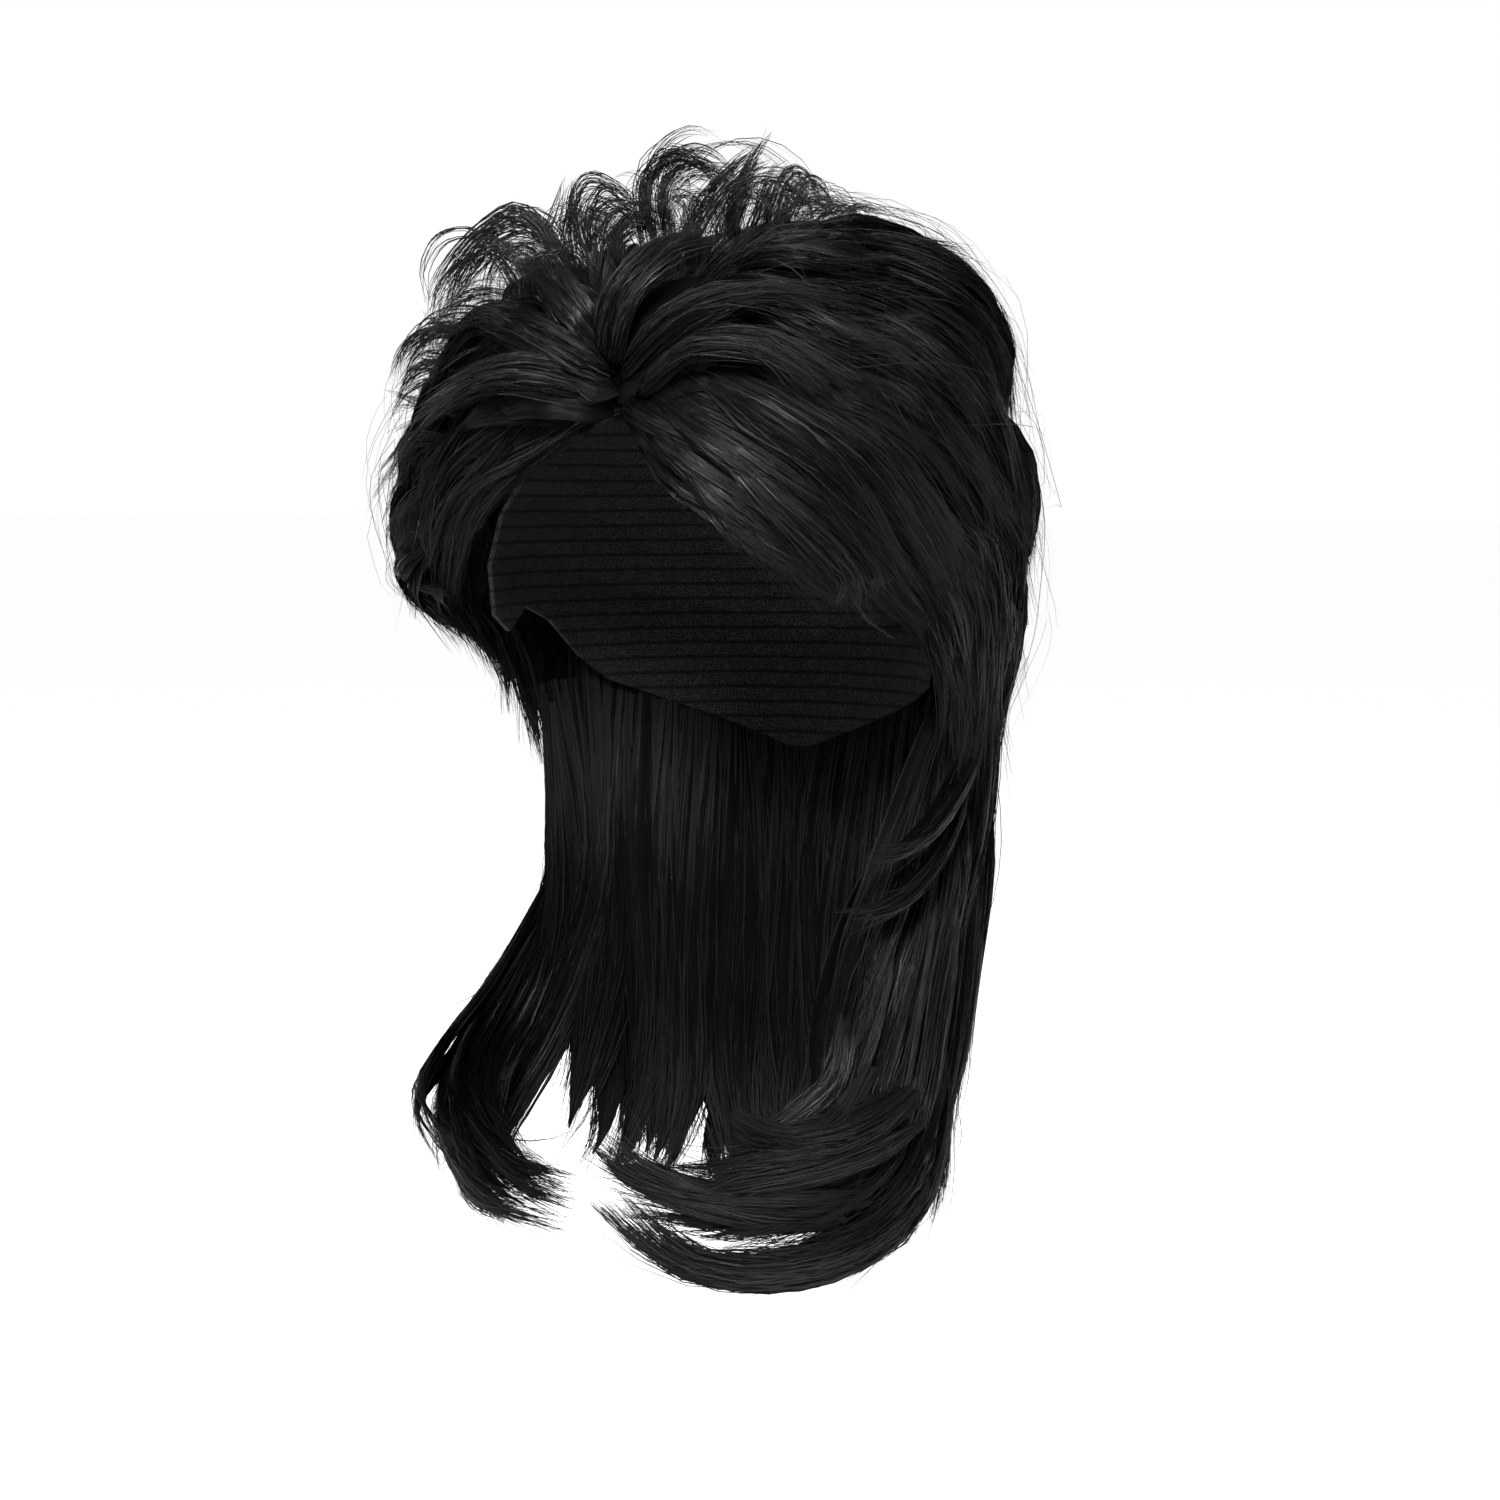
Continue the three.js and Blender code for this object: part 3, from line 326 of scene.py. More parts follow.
# Loops and spikes that stand on the crown, seen against the ground: how many locks,
# their spread, width, strands, and points across, up and forward from the ears, in mm.
LOOPS = [
    (3, 2.0, 8, 30, [(-38, 138, 8), (-35, 156, 6), (-30, 168, 4), (-21, 173, 2), (-12, 168, -2)]),
    (3, 1.6, 7, 30, [(-14, 162, 4), (-19, 180, 2), (-16, 191, 0), (-7.5, 197.5, -4),
                     (2.5, 195, -8), (8, 187, -12)]),
    (2, 1.6, 9, 12, [(-18, 160, 0), (-20, 185, 2), (-15, 195, 4), (-5, 200, 4), (6, 198, 2)]),
    (4, 2.2, 8, 30, [(6, 158, 2), (10, 176, 2), (15, 188, 0), (21, 197, -2)]),
    (3, 2.2, 8, 24, [(-8, 160, 6), (2, 178, 6), (12, 190, 3), (21, 198, 0)]),
    (4, 2.4, 8, 26, [(18, 156, 0), (25, 176, -2), (30, 187, -4), (36, 184, -7), (39, 174, -9)]),
    (3, 2.6, 8, 20, [(34, 150, 0), (42, 168, -2), (50, 175, -5), (58, 172, -8)]),
    (3, 2.4, 9, 22, [(-38, 150, 6), (-46, 172, 4), (-44, 185, 2), (-36, 188, 0),
                     (-26, 182, -4), (-20, 172, -6)]),
    (3, 2.0, 7, 12, [(-44, 148, 4), (-50, 168, 4), (-47, 182, 4), (-44, 190, 4)]),
    (4, 2.2, 10, 26, [(-46, 138, 10), (-52, 164, 8), (-64, 174, 6), (-76, 171, 4),
                      (-86, 162, 2), (-93, 151, 0), (-95, 141, -2)]),
    (3, 2.6, 9, 24, [(-54, 132, 10), (-62, 152, 10), (-72, 162, 8), (-82, 158, 6),
                     (-88, 147, 4), (-86, 136, 0)]),
    (3, 1.8, 8, 28, [(-66, 124, 12), (-82, 133, 10), (-95, 134, 8), (-104, 127, 6), (-108, 117, 4)]),
    (3, 1.6, 7, 24, [(-78, 112, 12), (-93, 120, 8), (-104, 118, 6), (-110, 108, 4)]),
    (3, 1.6, 7, 24, [(-90, 97, 8), (-101, 98, 6), (-108, 91, 4), (-109, 81, 2)]),
    (3, 1.6, 7, 24, [(-88, 78, 6), (-99, 74, 6), (-106, 64, 4), (-105, 54, 2)]),
]

# Points along a strand and its half width in millimetres
STRAND_POINTS = 9
STRAND_HALF_WIDTH = 0.23


def spline_weights(x, count):
    """Weights of count evenly spaced points for a Catmull-Rom curve at shares x."""
    x = np.clip(np.asarray(x, float), 0.0, 1.0) * (count - 1)
    cell = np.minimum(x.astype(int), count - 2)
    f = x - cell
    basis = (
        0.5 * (-f + 2 * f**2 - f**3),
        0.5 * (2 - 5 * f**2 + 3 * f**3),
        0.5 * (f + 4 * f**2 - 3 * f**3),
        0.5 * (-(f**2) + f**3),
    )
    weights = np.zeros((len(x), count + 2))
    rows = np.arange(len(x))
    for k, share in enumerate(basis):
        weights[rows, cell + k] += share
    # the points before the first and after the last lie in line with their neighbours
    weights[:, 1] += 2 * weights[:, 0]
    weights[:, 2] -= weights[:, 0]
    weights[:, count] += 2 * weights[:, count + 1]
    weights[:, count - 1] -= weights[:, count + 1]
    return weights[:, 1 : count + 1]


def form_point(azimuth, drop, height):
    """Point at a height over the head or the neck, in millimetres."""
    turn = math.radians(azimuth)
    if drop <= 1:
        tilt = drop * math.pi / 2
        way = np.array([math.sin(tilt) * math.sin(turn), -math.sin(tilt) * math.cos(turn), math.cos(tilt)])
        half = np.array([HEAD_HALF_WIDTH, HEAD_HALF_LENGTH, CROWN_HEIGHT])
        point = way * half - np.array([0, 0, CROWN_HEIGHT])
        normal = way / half
    else:
        side = "front" if math.cos(turn) > 0 else "back"
        drops = [row["drop"] for row in NECK_SECTIONS]
        width = HEAD_HALF_WIDTH * np.interp(drop, drops, [row["width"] for row in NECK_SECTIONS])
        reach = HEAD_HALF_LENGTH * np.interp(drop, drops, [row[side] for row in NECK_SECTIONS])
        fall = CROWN_HEIGHT + (drop - 1) * TAIL_DROP
        point = np.array([width * math.sin(turn), -reach * math.cos(turn), -fall])
        normal = np.array([math.sin(turn) / width, -math.cos(turn) / reach, 0.0])
    return point + normal / np.linalg.norm(normal) * height


def guide_grid(sheet, side):
    """Control points of a sheet's outer or inner face: guides by points by xyz."""
    grid = []
    for guide in sheet["guides"]:
        heights = guide[side]
        if not isinstance(heights, list):
            heights = [heights] * len(guide["azimuth"])
        rows = zip(guide["azimuth"], guide["drop"], heights)
        grid.append([form_point(a, d, h * HAIR_LOFT) for a, d, h in rows])
    return np.array(grid)


def sheet_points(grid, across, along):
    """Points of a sheet's face at shares across its guides and along them."""
    wide = spline_weights(across, grid.shape[0])
    long = spline_weights(along, grid.shape[1])
    return np.einsum("ng,nk,gkc->nc", wide, long, grid)


def unit(v):
    """Vectors scaled to length one."""
    return v / np.maximum(np.linalg.norm(v, axis=-1, keepdims=True), 1e-9)


class Lock:
    """A middle line with its own side and outward directions, width and thickness."""

    def __init__(self, centre, outward, width, thick):
        along = np.gradient(centre, axis=0)
        self.centre = centre
        self.along = unit(along)
        outward = outward - (outward * self.along).sum(1, keepdims=True) * self.along
        self.outward = unit(outward)
        self.side = np.cross(self.along, self.outward)
        self.width = width
        self.thick = thick


def taper(x, start, last):
    """1 up to the start share, then a smooth fall to the last value."""
    t = np.clip((x - start) / (1 - start), 0, 1)
    return 1 - (1 - last) * t**1.7


# Directions of the picture: across, up and towards the camera; the ears are its middle
AZIMUTH, ELEVATION = math.radians(23.5), math.radians(4.4)
EARS = np.array([0.0, -9.0, -129.0])
picture_across = np.array([math.cos(AZIMUTH), math.sin(AZIMUTH), 0.0])
picture_back = np.array([
    math.sin(AZIMUTH) * math.cos(ELEVATION), -math.cos(AZIMUTH) * math.cos(ELEVATION), math.sin(ELEVATION)
])
picture_ways = np.array([picture_across, np.cross(picture_back, picture_across), picture_back])


def picture_points(path):
    """Points given across, up and forward from the ears, in the part's frame."""
    return EARS + np.asarray(path, float) @ picture_ways


def sunk(node, across, along):
    """How much deeper dense hair lies than its sheet, as under the airy loops on top."""
    if node in ("side_left", "back_hair"):
        return 0.16 * np.sin(np.pi * np.clip(along / 0.8, 0, 1))
    if node != "crown_hair":
        return np.zeros_like(along)
    bell = np.sin(np.pi * np.clip((along - 0.04) / 0.84, 0, 1))
    end = np.clip((along - 0.72) / 0.28, 0, 1) ** 2 * np.interp(across, [0.12, 0.28, 0.45], [0.0, 0.34, 0.12])
    return end + bell * np.interp(across, [0.25, 0.45, 0.60, 0.85, 1.0], [0.0, 0.14, 0.26, 0.22, 0.08])


def sheet_lock(sheet, grids, middle, start, end, deep, width, thick, wave, waves, flick):
    """One lock that follows its sheet from a start share to an end share."""
    x = np.linspace(0, 1, STATIONS)
    along = start + (end - start) * x
    span = 1.0 / max(len(sheet["guides"]) - 1, 1)
    drift = rng.normal(0, 0.08) * span
    across = np.clip(middle + drift * x, 0.0, 1.0)
    outer = sheet_points(grids[0], across, along)
    inner = sheet_points(grids[1], across, along)
    up = unit(outer - inner)
    depth = np.linalg.norm(outer - inner, axis=1, keepdims=True)
    # a lock comes up from between the others and never leaves its sheet
    below = np.clip(1 - x / 0.25, 0, 1)[:, None] ** 2 * (0.22 if start > 0.03 else 0.0)
    below = below + deep + sunk(sheet["node"], middle, along)[:, None]
    thick = np.minimum(thick, 0.5 * depth[:, 0])[:, None]
    room = np.maximum(depth - thick - CLEAR_OF_CAP, 0)
    centre = outer - up * np.clip(below * depth + 0.5 * thick, 0, room)
    thick = thick[:, 0]
    if deep > FACING:
        up = -up
    lock = Lock(centre, up, None, None)
    # neighbours wave almost together, so that the hair lies in feathered bands
    phase = 2 * np.pi * 2.2 * middle + rng.normal(0, 0.6)
    env = np.sin(np.pi * np.clip(x * 1.1, 0, 1)) ** 0.5
    turn = 2 * np.pi * waves * along + phase
    sway = wave * env * np.sin(turn)
    rise = 0.5 * wave * env * np.sin(0.9 * turn + 1.3)
    tip = np.clip((x - 0.62) / 0.38, 0, 1) ** 1.8
    rise = rise + tip * rng.uniform(-0.15, 1.0) * flick
    sway = sway + tip * rng.normal(0, 0.6) * flick
    centre = centre + lock.side * sway[:, None] + up * rise[:, None]
    wide = width * rng.uniform(0.75, 1.2)
    shape = taper(x, 0.45, 0.06) * np.clip((0.45 if start < 0.06 and deep < 0.2 else 0.25) + 2.6 * x, 0, 1)
    return Lock(centre, up, wide * shape, thick * rng.uniform(0.8, 1.2) * (0.35 + 0.65 * shape))


class Surface:
    """Collects vertices, quads and two sets of texture coordinates for one piece."""

    def __init__(self, name, node, slot):
        self.name, self.node, self.slot = name, node, slot
        self.vertices, self.quads, self.grain, self.strip = [], [], [], []
        self.count = 0

    def add(self, vertices, quads, grain, strip):
        self.vertices.append(vertices)
        self.quads.append(quads + self.count)
        self.grain.append(grain)
        self.strip.append(strip)
        self.count += len(vertices)

    def build(self, material):
        vertices = np.concatenate(self.vertices) * METRES
        quads = np.concatenate(self.quads)
        mesh = bpy.data.meshes.new(self.name)
        mesh.vertices.add(len(vertices))
        mesh.vertices.foreach_set("co", vertices.astype(np.float32).ravel())
        mesh.loops.add(quads.size)
        mesh.loops.foreach_set("vertex_index", quads.astype(np.int32).ravel())
        mesh.polygons.add(len(quads))
        mesh.polygons.foreach_set("loop_start", np.arange(0, quads.size, 4, dtype=np.int32))
        mesh.polygons.foreach_set("use_smooth", np.ones(len(quads), bool))
        for name, values in (("OFBake", self.strip), ("Grain", self.grain)):
            layer = mesh.uv_layers.new(name=name)
            layer.uv.foreach_set("vector", np.concatenate(values).astype(np.float32).ravel())
        mesh.update(calc_edges=True)
        mesh.validate()
        mesh.materials.append(material)
        piece = bpy.data.objects.new(self.name, mesh)
        bpy.context.scene.collection.objects.link(piece)
        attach(piece, "root")
        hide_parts(self.node)


def lattice(rows, columns):
    """Quads of a lattice of vertices."""
    row, column = np.meshgrid(np.arange(rows - 1), np.arange(columns - 1), indexing="ij")
    here, below = row * columns + column, (row + 1) * columns + column
    return np.stack([here, here + 1, below + 1, below], -1).reshape(-1, 4)


BLADE_ROWS, BLADE_COLUMNS = 20, 7
BLADE_REACH = 0.90     # a blade ends before the tips of its strands
CELLS = 16             # blades lie in a square of cells in their bake map
CELL_EDGE = 0.03       # empty edge of a cell, as a share of it


def resampled(rows, values):
    """A lock's points or directions at places between its stations."""
    return np.stack([np.interp(rows, np.arange(STATIONS), values[:, k]) for k in range(3)], 1)


def add_blade(surface, lock, number):
    """The dense body of a lock: a curved blade with fine grooves along it."""
    rows = np.linspace(0, (STATIONS - 1) * BLADE_REACH, BLADE_ROWS)
    centre = resampled(rows, lock.centre)
    side, outward = unit(resampled(rows, lock.side)), unit(resampled(rows, lock.outward))
    narrow = taper(np.linspace(0, 1, BLADE_ROWS), 0.55, 0.02)[:, None]
    width = np.interp(rows, np.arange(STATIONS), lock.width)[:, None] * narrow
    thick = np.interp(rows, np.arange(STATIONS), lock.thick)[:, None] * (0.3 + 0.7 * narrow)
    a = np.linspace(-1, 1, BLADE_COLUMNS)[None, :]
    grooves = 0.22 * rng.standard_normal((1, BLADE_COLUMNS))
    dents = 0.08 * rng.standard_normal((BLADE_ROWS, BLADE_COLUMNS))
    high = np.sqrt(np.clip(1 - a**2, 0, 1)) * (1 + grooves + dents)
    half = 0.5 * width
    points = centre[:, None] + side[:, None] * (half * a)[..., None]
    points = points + outward[:, None] * (thick * high - 0.35 * thick)[..., None]
    v = np.linspace(0, 1, BLADE_ROWS)
    u = np.linspace(0, 1, BLADE_COLUMNS)
    uv = np.stack(np.meshgrid(v, u, indexing="ij"), -1)[..., ::-1].reshape(-1, 2)
    quads = lattice(BLADE_ROWS, BLADE_COLUMNS)
    corner = uv[quads.ravel()]
    grain = corner + [number, 0.0]
    cell = np.array([number % CELLS, (number // CELLS) % CELLS])
    strip = (corner * (1 - 2 * CELL_EDGE) + CELL_EDGE + cell) / CELLS
    surface.add(points.reshape(-1, 3), quads, grain, strip)


TONES = 64             # strands share this many strips of the bake map
STRAND_REACH = (0.72, 1.03)   # where strands end, as shares along their lock


def blended(values, low, f):
    """A lock's values between a station and the next, at the share f."""
    f = f[..., None] if values.ndim == 2 else f
    return values[low] * (1 - f) + values[low + 1] * f


def add_strands(surface, lock, count, points=STRAND_POINTS, half_width=STRAND_HALF_WIDTH, loose=1.0):
    """Fine strands laid over a lock as tapering ribbons."""
    if count < 1:
        return
    across = rng.uniform(-1, 1, (count, 1)) * rng.uniform(0.6, 1.12, (count, 1))
    height = rng.uniform(0.75, 1.30, (count, 1))
    first = np.clip(rng.normal(0.0, 0.12, (count, 1)), 0, 0.4)
    last = rng.uniform(*STRAND_REACH, (count, 1))
    t = first + (np.minimum(last, 1.0) - first) * np.linspace(0, 1, points)[None, :]
    at = t * (STATIONS - 1)
    low = np.minimum(at.astype(int), STATIONS - 2)
    f = at - low
    centre = blended(lock.centre, low, f)
    side, outward = unit(blended(lock.side, low, f)), unit(blended(lock.outward, low, f))
    width, thick = blended(lock.width, low, f), blended(lock.thick, low, f)
    phase = rng.uniform(0, 2 * np.pi, (count, 2))
    cycles = rng.uniform(0.5, 1.8, (count, 1))
    a = across + 0.16 * np.sin(2 * np.pi * cycles * t + phase[:, :1])
    ease = np.clip((t - 0.45) / 0.55, 0, 1) ** 2
    stray = rng.standard_normal((count, 1)) * (rng.random((count, 1)) < 0.35) * 5.0 * loose
    lift = np.abs(rng.standard_normal((count, 1))) * (rng.random((count, 1)) < 0.30) * 3.5 * loose
    bow = np.sqrt(np.clip(1 - np.clip(a, -1, 1) ** 2, 0, 1))
    off_side = 0.5 * width * a + ease * stray + 0.35 * np.sin(2 * np.pi * 1.7 * t + phase[:, 1:]) * loose
    off_up = thick * bow * height - 0.35 * thick + 0.3 + ease * lift
    middle = centre + side * off_side[..., None] + outward * off_up[..., None]
    roll = rng.normal(0, 0.35, (count, 1, 1)) + rng.normal(0, 0.35, (count, 1, 1)) * t[..., None]
    flat = side * np.cos(roll) + outward * np.sin(roll)
    add_ribbons(surface, middle, flat, half_width * rng.uniform(0.6, 1.5, (count, 1)))


def strip_places(count, cells, points, steps):
    """Texture coordinates of strands: each takes one strip of the bake map."""
    tone = rng.integers(0, TONES, count)
    u = tone[:, None, None] + np.tile(steps, (len(cells), 1))[None]
    v = np.broadcast_to(cells[None] / (points - 1), u.shape)
    grain = np.stack([u, v], -1).reshape(-1, 2)
    strip = np.stack([u / TONES, v * 0.96 + 0.02], -1).reshape(-1, 2)
    return grain, strip


def add_ribbons(surface, middle, flat, half_width):
    """Tapering flat strands along rows of points."""
    count, points = middle.shape[:2]
    x = np.linspace(0, 1, points)
    radius = half_width * taper(x, 0.5, 0.2)[None, :]
    vertices = np.stack([middle - flat * radius[..., None], middle + flat * radius[..., None]], 2)
    one = lattice(points, 2)
    quads = (one[None] + (np.arange(count) * points * 2)[:, None, None]).reshape(-1, 4)
    grain, strip = strip_places(count, one // 2, points, np.array([0.1, 0.9, 0.9, 0.1]))
    surface.add(vertices.reshape(-1, 3), quads, grain, strip)


def free_lock(points, outward, width, thick):
    """A lock along a curve through a few points, with one outward direction."""
    x = np.linspace(0, 1, STATIONS)
    centre = spline_weights(x, len(points)) @ np.asarray(points)
    shape = taper(x, 0.5, 0.10) * np.clip(0.2 + 3.2 * x, 0, 1)
    return Lock(centre, np.broadcast_to(outward, centre.shape).copy(), width * shape, thick * shape)


CURL_RADIUS = 18.0
CURL_POINTS = 14
TUFTS = 6


def tufted(tuft, middle, spread, own):
    """Values alike within a tuft of hairs, each with a little of its own."""
    shared = rng.normal(middle, spread, TUFTS)[tuft][:, None]
    return shared + rng.normal(0, own, (len(tuft), 1))


def add_curl(surface, azimuth, drop, start, lean, size, turn, count):
    """A loop of loose hairs that rise from the crown and bend over, each its own way."""
    azimuth = azimuth + rng.normal(0, 0.6 + 1.0 / (0.15 + drop), (count, 1))
    drop = np.clip(drop + rng.normal(0, 0.014, (count, 1)), 0.02, 0.9)
    base = np.array([form_point(a, d, start * HAIR_LOFT) for a, d in zip(azimuth.ravel(), drop.ravel())])
    over = np.array([form_point(a, d, HAIR_LOFT + 20) for a, d in zip(azimuth.ravel(), drop.ravel())])
    up = unit(over - base)[:, None]
    turned = np.radians(lean + rng.normal(0, 7, count))
    away = np.stack([np.sin(turned), -np.cos(turned), np.zeros(count)], 1)[:, None]
    away = unit(away - up * (away * up).sum(2, keepdims=True))
    aside = np.cross(up, away)
    x = np.linspace(0, 1, CURL_POINTS)[None, :]
    # the hairs of a loop keep together in a few tufts
    tuft = rng.integers(0, TUFTS, count)
    angle = np.radians(turn * tufted(tuft, 0.95, 0.12, 0.03)) * x
    radius = CURL_RADIUS * size * tufted(tuft, 1.0, 0.13, 0.025) * (1 - tufted(tuft, 0.3, 0.06, 0.01) * x)
    rise = radius * 1.2 * np.sin(angle)
    reach = radius * (1 - np.cos(angle))
    drift = (rng.normal(0, 6.0) + tufted(tuft, 0.0, 3.0, 0.6)) * x
    ripple = rng.normal(0, 1.0, (count, 1))
    drift = drift + ripple * np.sin(5 * x + rng.uniform(0, 6, (count, 1)))
    root = np.clip(1 - x / 0.22, 0, 1) ** 2
    middle = base[:, None] + up * (rise - 9 * root)[..., None] + away * (reach - 3 * root)[..., None]
    middle = middle + aside * drift[..., None]
    roll = rng.uniform(0, np.pi, (count, 1, 1))
    flat = aside * np.cos(roll) + up * np.sin(roll)
    add_ribbons(surface, middle, np.broadcast_to(flat, middle.shape), rng.uniform(0.07, 0.17, (count, 1)))


def add_node(tree, kind, values=None, **settings):
    """A shader node with its settings; each input gets a constant or a link."""
    node = tree.nodes.new(kind)
    for name, value in settings.items():
        setattr(node, name, value)
    for name, value in (values or {}).items():
        if isinstance(value, bpy.types.NodeSocket):
            tree.links.new(value, node.inputs[name])
        else:
            node.inputs[name].default_value = value
    return node


def add_range(tree, source, start, stop, low=0.0, high=1.0):
    """A source's values from start to stop, turned into those from low to high."""
    values = {"Value": source, "From Min": start, "From Max": stop, "To Min": low, "To Max": high}
    return add_node(tree, "ShaderNodeMapRange", values).outputs["Result"]


def add_ramp(tree, source, stops):
    """A colour ramp over two stops, each a position and a colour."""
    ramp = add_node(tree, "ShaderNodeValToRGB", {"Fac": source})
    for element, (position, colour) in zip(ramp.color_ramp.elements, stops):
        element.position = position
        element.color = (*colour, 1)
    return ramp.outputs["Color"]


def add_mix(tree, share, first, second, **settings):
    """One colour turned into another by a share."""
    values = {"Factor": share, "A": first, "B": second}
    return add_node(tree, "ShaderNodeMix", values, data_type="RGBA", **settings).outputs["Result"]


def new_material(name):
    """A plain material with its node tree and its shader."""
    material = bpy.data.materials.new(name)
    material.use_nodes = True
    return material, material.node_tree, material.node_tree.nodes["Principled BSDF"]


# Colours of the fibre and of the cap's net; the fibre's darkest colour is painted shade between its strands
FIBRE_PAINTED_SHADE = (0.0006, 0.0005, 0.0005)
FIBRE_LIGHT = (0.0030, 0.0025, 0.0024)
FIBRE_TIP = (0.0065, 0.0042, 0.0034, 1)
NET_GAP = (0.0020, 0.0020, 0.0020, 1)
NET_THREAD = (0.022, 0.021, 0.020, 1)
NET_WEFT = (0.0030, 0.0028, 0.0028, 1)
RELIEF = 0.0006        # depth of the fine bumps in metres


def fibre_material(name, streaks, rough, dull, specular):
    """Off-black synthetic fibre: fine streaks along the hair, their dark parts painted shade between strands
    and the rest the fibre's own tone; warm and matt at the tips.
    """
    material, tree, shader = new_material(name)
    grain = add_node(tree, "ShaderNodeUVMap", uv_map="Grain").outputs["UV"]
    along = add_node(tree, "ShaderNodeSeparateXYZ", {0: grain}).outputs["Y"]
    stretch = add_node(tree, "ShaderNodeMapping", {"Vector": grain, "Scale": (streaks, 2.2, 1.0)})
    values = {"Vector": stretch.outputs["Vector"], "Scale": 1.0, "Detail": 5.0, "Roughness": 0.65}
    streak = add_node(tree, "ShaderNodeTexNoise", values).outputs["Fac"]
    # the streaks run from painted shade between strands to the fibre's own lighter tone
    tone = add_ramp(tree, streak, [(0.36, FIBRE_PAINTED_SHADE), (0.70, FIBRE_LIGHT)])
    tip = add_range(tree, along, 0.70, 1.0, 0.0, 0.55)
    tree.links.new(add_mix(tree, tip, tone, FIBRE_TIP), shader.inputs["Base Color"])
    gloss = add_range(tree, streak, 0.38, 0.62, dull, rough)
    root = add_range(tree, along, 0.0, 0.30, 0.60, 0.0)
    matt = add_node(tree, "ShaderNodeMath", {0: gloss, 1: root}).outputs["Value"]
    ends = add_node(tree, "ShaderNodeMath", {0: matt, 1: tip}, use_clamp=True)
    tree.links.new(ends.outputs["Value"], shader.inputs["Roughness"])
    bump = add_node(tree, "ShaderNodeBump", {"Height": streak, "Strength": 0.7, "Distance": RELIEF})
    tree.links.new(bump.outputs["Normal"], shader.inputs["Normal"])
    tangent = add_node(tree, "ShaderNodeTangent", direction_type="UV_MAP", uv_map="Grain")
    tree.links.new(tangent.outputs["Tangent"], shader.inputs["Tangent"])
    shader.inputs["Specular IOR Level"].default_value = specular
    shader.inputs["IOR"].default_value = 1.5
    shader.inputs["Anisotropic"].default_value = 0.75
    return material


def net_material():
    """Black stretch net with wefts sewn round it."""
    material, tree, shader = new_material("cap_net")
    place = add_node(tree, "ShaderNodeTexCoord").outputs["Object"]
    values = {"Vector": place, "Scale": 56.0, "Distortion": 0.6, "Detail": 1.0}
    wefts = add_node(tree, "ShaderNodeTexWave", values, wave_type="BANDS", bands_direction="Z")
    seam = add_range(tree, wefts.outputs["Fac"], 0.80, 0.97)
    values = {"Vector": place, "Scale": 900.0}
    cells = add_node(tree, "ShaderNodeTexVoronoi", values, feature="DISTANCE_TO_EDGE")
    thread = add_range(tree, cells.outputs["Distance"], 0.06, 0.20, 1.0, 0.0)
    woven = add_mix(tree, thread, NET_GAP, NET_THREAD)
    tree.links.new(add_mix(tree, seam, woven, NET_WEFT), shader.inputs["Base Color"])
    height = add_node(tree, "ShaderNodeMath", {0: thread, 1: seam}).outputs["Value"]
    raised = add_node(tree, "ShaderNodeBump", {"Height": height, "Strength": 0.5, "Distance": RELIEF})
    tree.links.new(raised.outputs["Normal"], shader.inputs["Normal"])
    shader.inputs["Roughness"].default_value = 0.9
    shader.inputs["Specular IOR Level"].default_value = 0.15
    return material


blade_fibre = fibre_material("fibre_locks", 15.0, 0.36, 0.72, 0.06)
strand_fibre = fibre_material("fibre_strands", 1.7, 0.25, 0.42, 0.24)

sheets = {sheet["node"]: sheet for sheet in SHEETS}
grids = {node: (guide_grid(sheet, "outer"), guide_grid(sheet, "inner")) for node, sheet in sheets.items()}
locks = {node: Surface(node + "_locks", node, "fibre") for node in sheets}
strands = {
    node: [Surface(f"{node}_strands_{k + 1}", node, "fibre") for k in range(2 if node == "crown_hair" else 1)]
    for node in sheets
}


def dress(node, lock, number, fine, loose=1.0):
    """A lock of a node: its dense body and the fine strands over it."""
    add_blade(locks[node], lock, number)
    surfaces = strands[node]
    add_strands(surfaces[number % len(surfaces)], lock, fine, loose=loose)


# Layers of locks on every sheet. Locks near the head lie evenly, so that nothing shows
# through them.
NEAR_HEAD = 0.35
EVEN, UNEVEN = 0.12, 0.35
number = 0
for node, between, count, start, length, deep, width, thick, wave, waves, flick, fine in LAYERS:
    uneven = EVEN if deep[0] > NEAR_HEAD else UNEVEN
    for k in range(count):
        share = (k + 0.5 + rng.uniform(-uneven, uneven)) / count
        middle = between[0] + (between[1] - between[0]) * share
        first = rng.uniform(*start)
        lock = sheet_lock(
            sheets[node], grids[node], middle, first, min(first + rng.uniform(*length), 1.0),
            rng.uniform(*deep), width, thick, wave, waves, flick,
        )
        dress(node, lock, number, fine, 0.3 if deep[0] > FACING else 1.0)
        number += 1

# Flicks, loops and fillers of their own, each fanned out over its spread
for node, count, spread, width, thick, fine, path in ACCENTS:
    for k in range(count):
        place = 2 * (k + 0.5) / count - 1
        turn = spread * (1.6 * place + rng.normal(0, 0.25))
        fall, rise = rng.normal(0, 0.006 * min(spread, 2.5)), rng.normal(0, 0.03)
        lean = rng.normal(0, 0.25) * spread
        points = [
            form_point(a + turn + lean * j, d + fall, (h + rise) * HAIR_LOFT)
            for j, (a, d, h) in enumerate(path)
        ]
        a, d, h = path[len(path) // 2]
        outward = unit(form_point(a, d, HAIR_LOFT) - form_point(a, d, 0))
        lock = free_lock(points, outward, width * rng.uniform(0.7, 1.2), thick)
        dress(node, lock, number, fine)
        number += 1

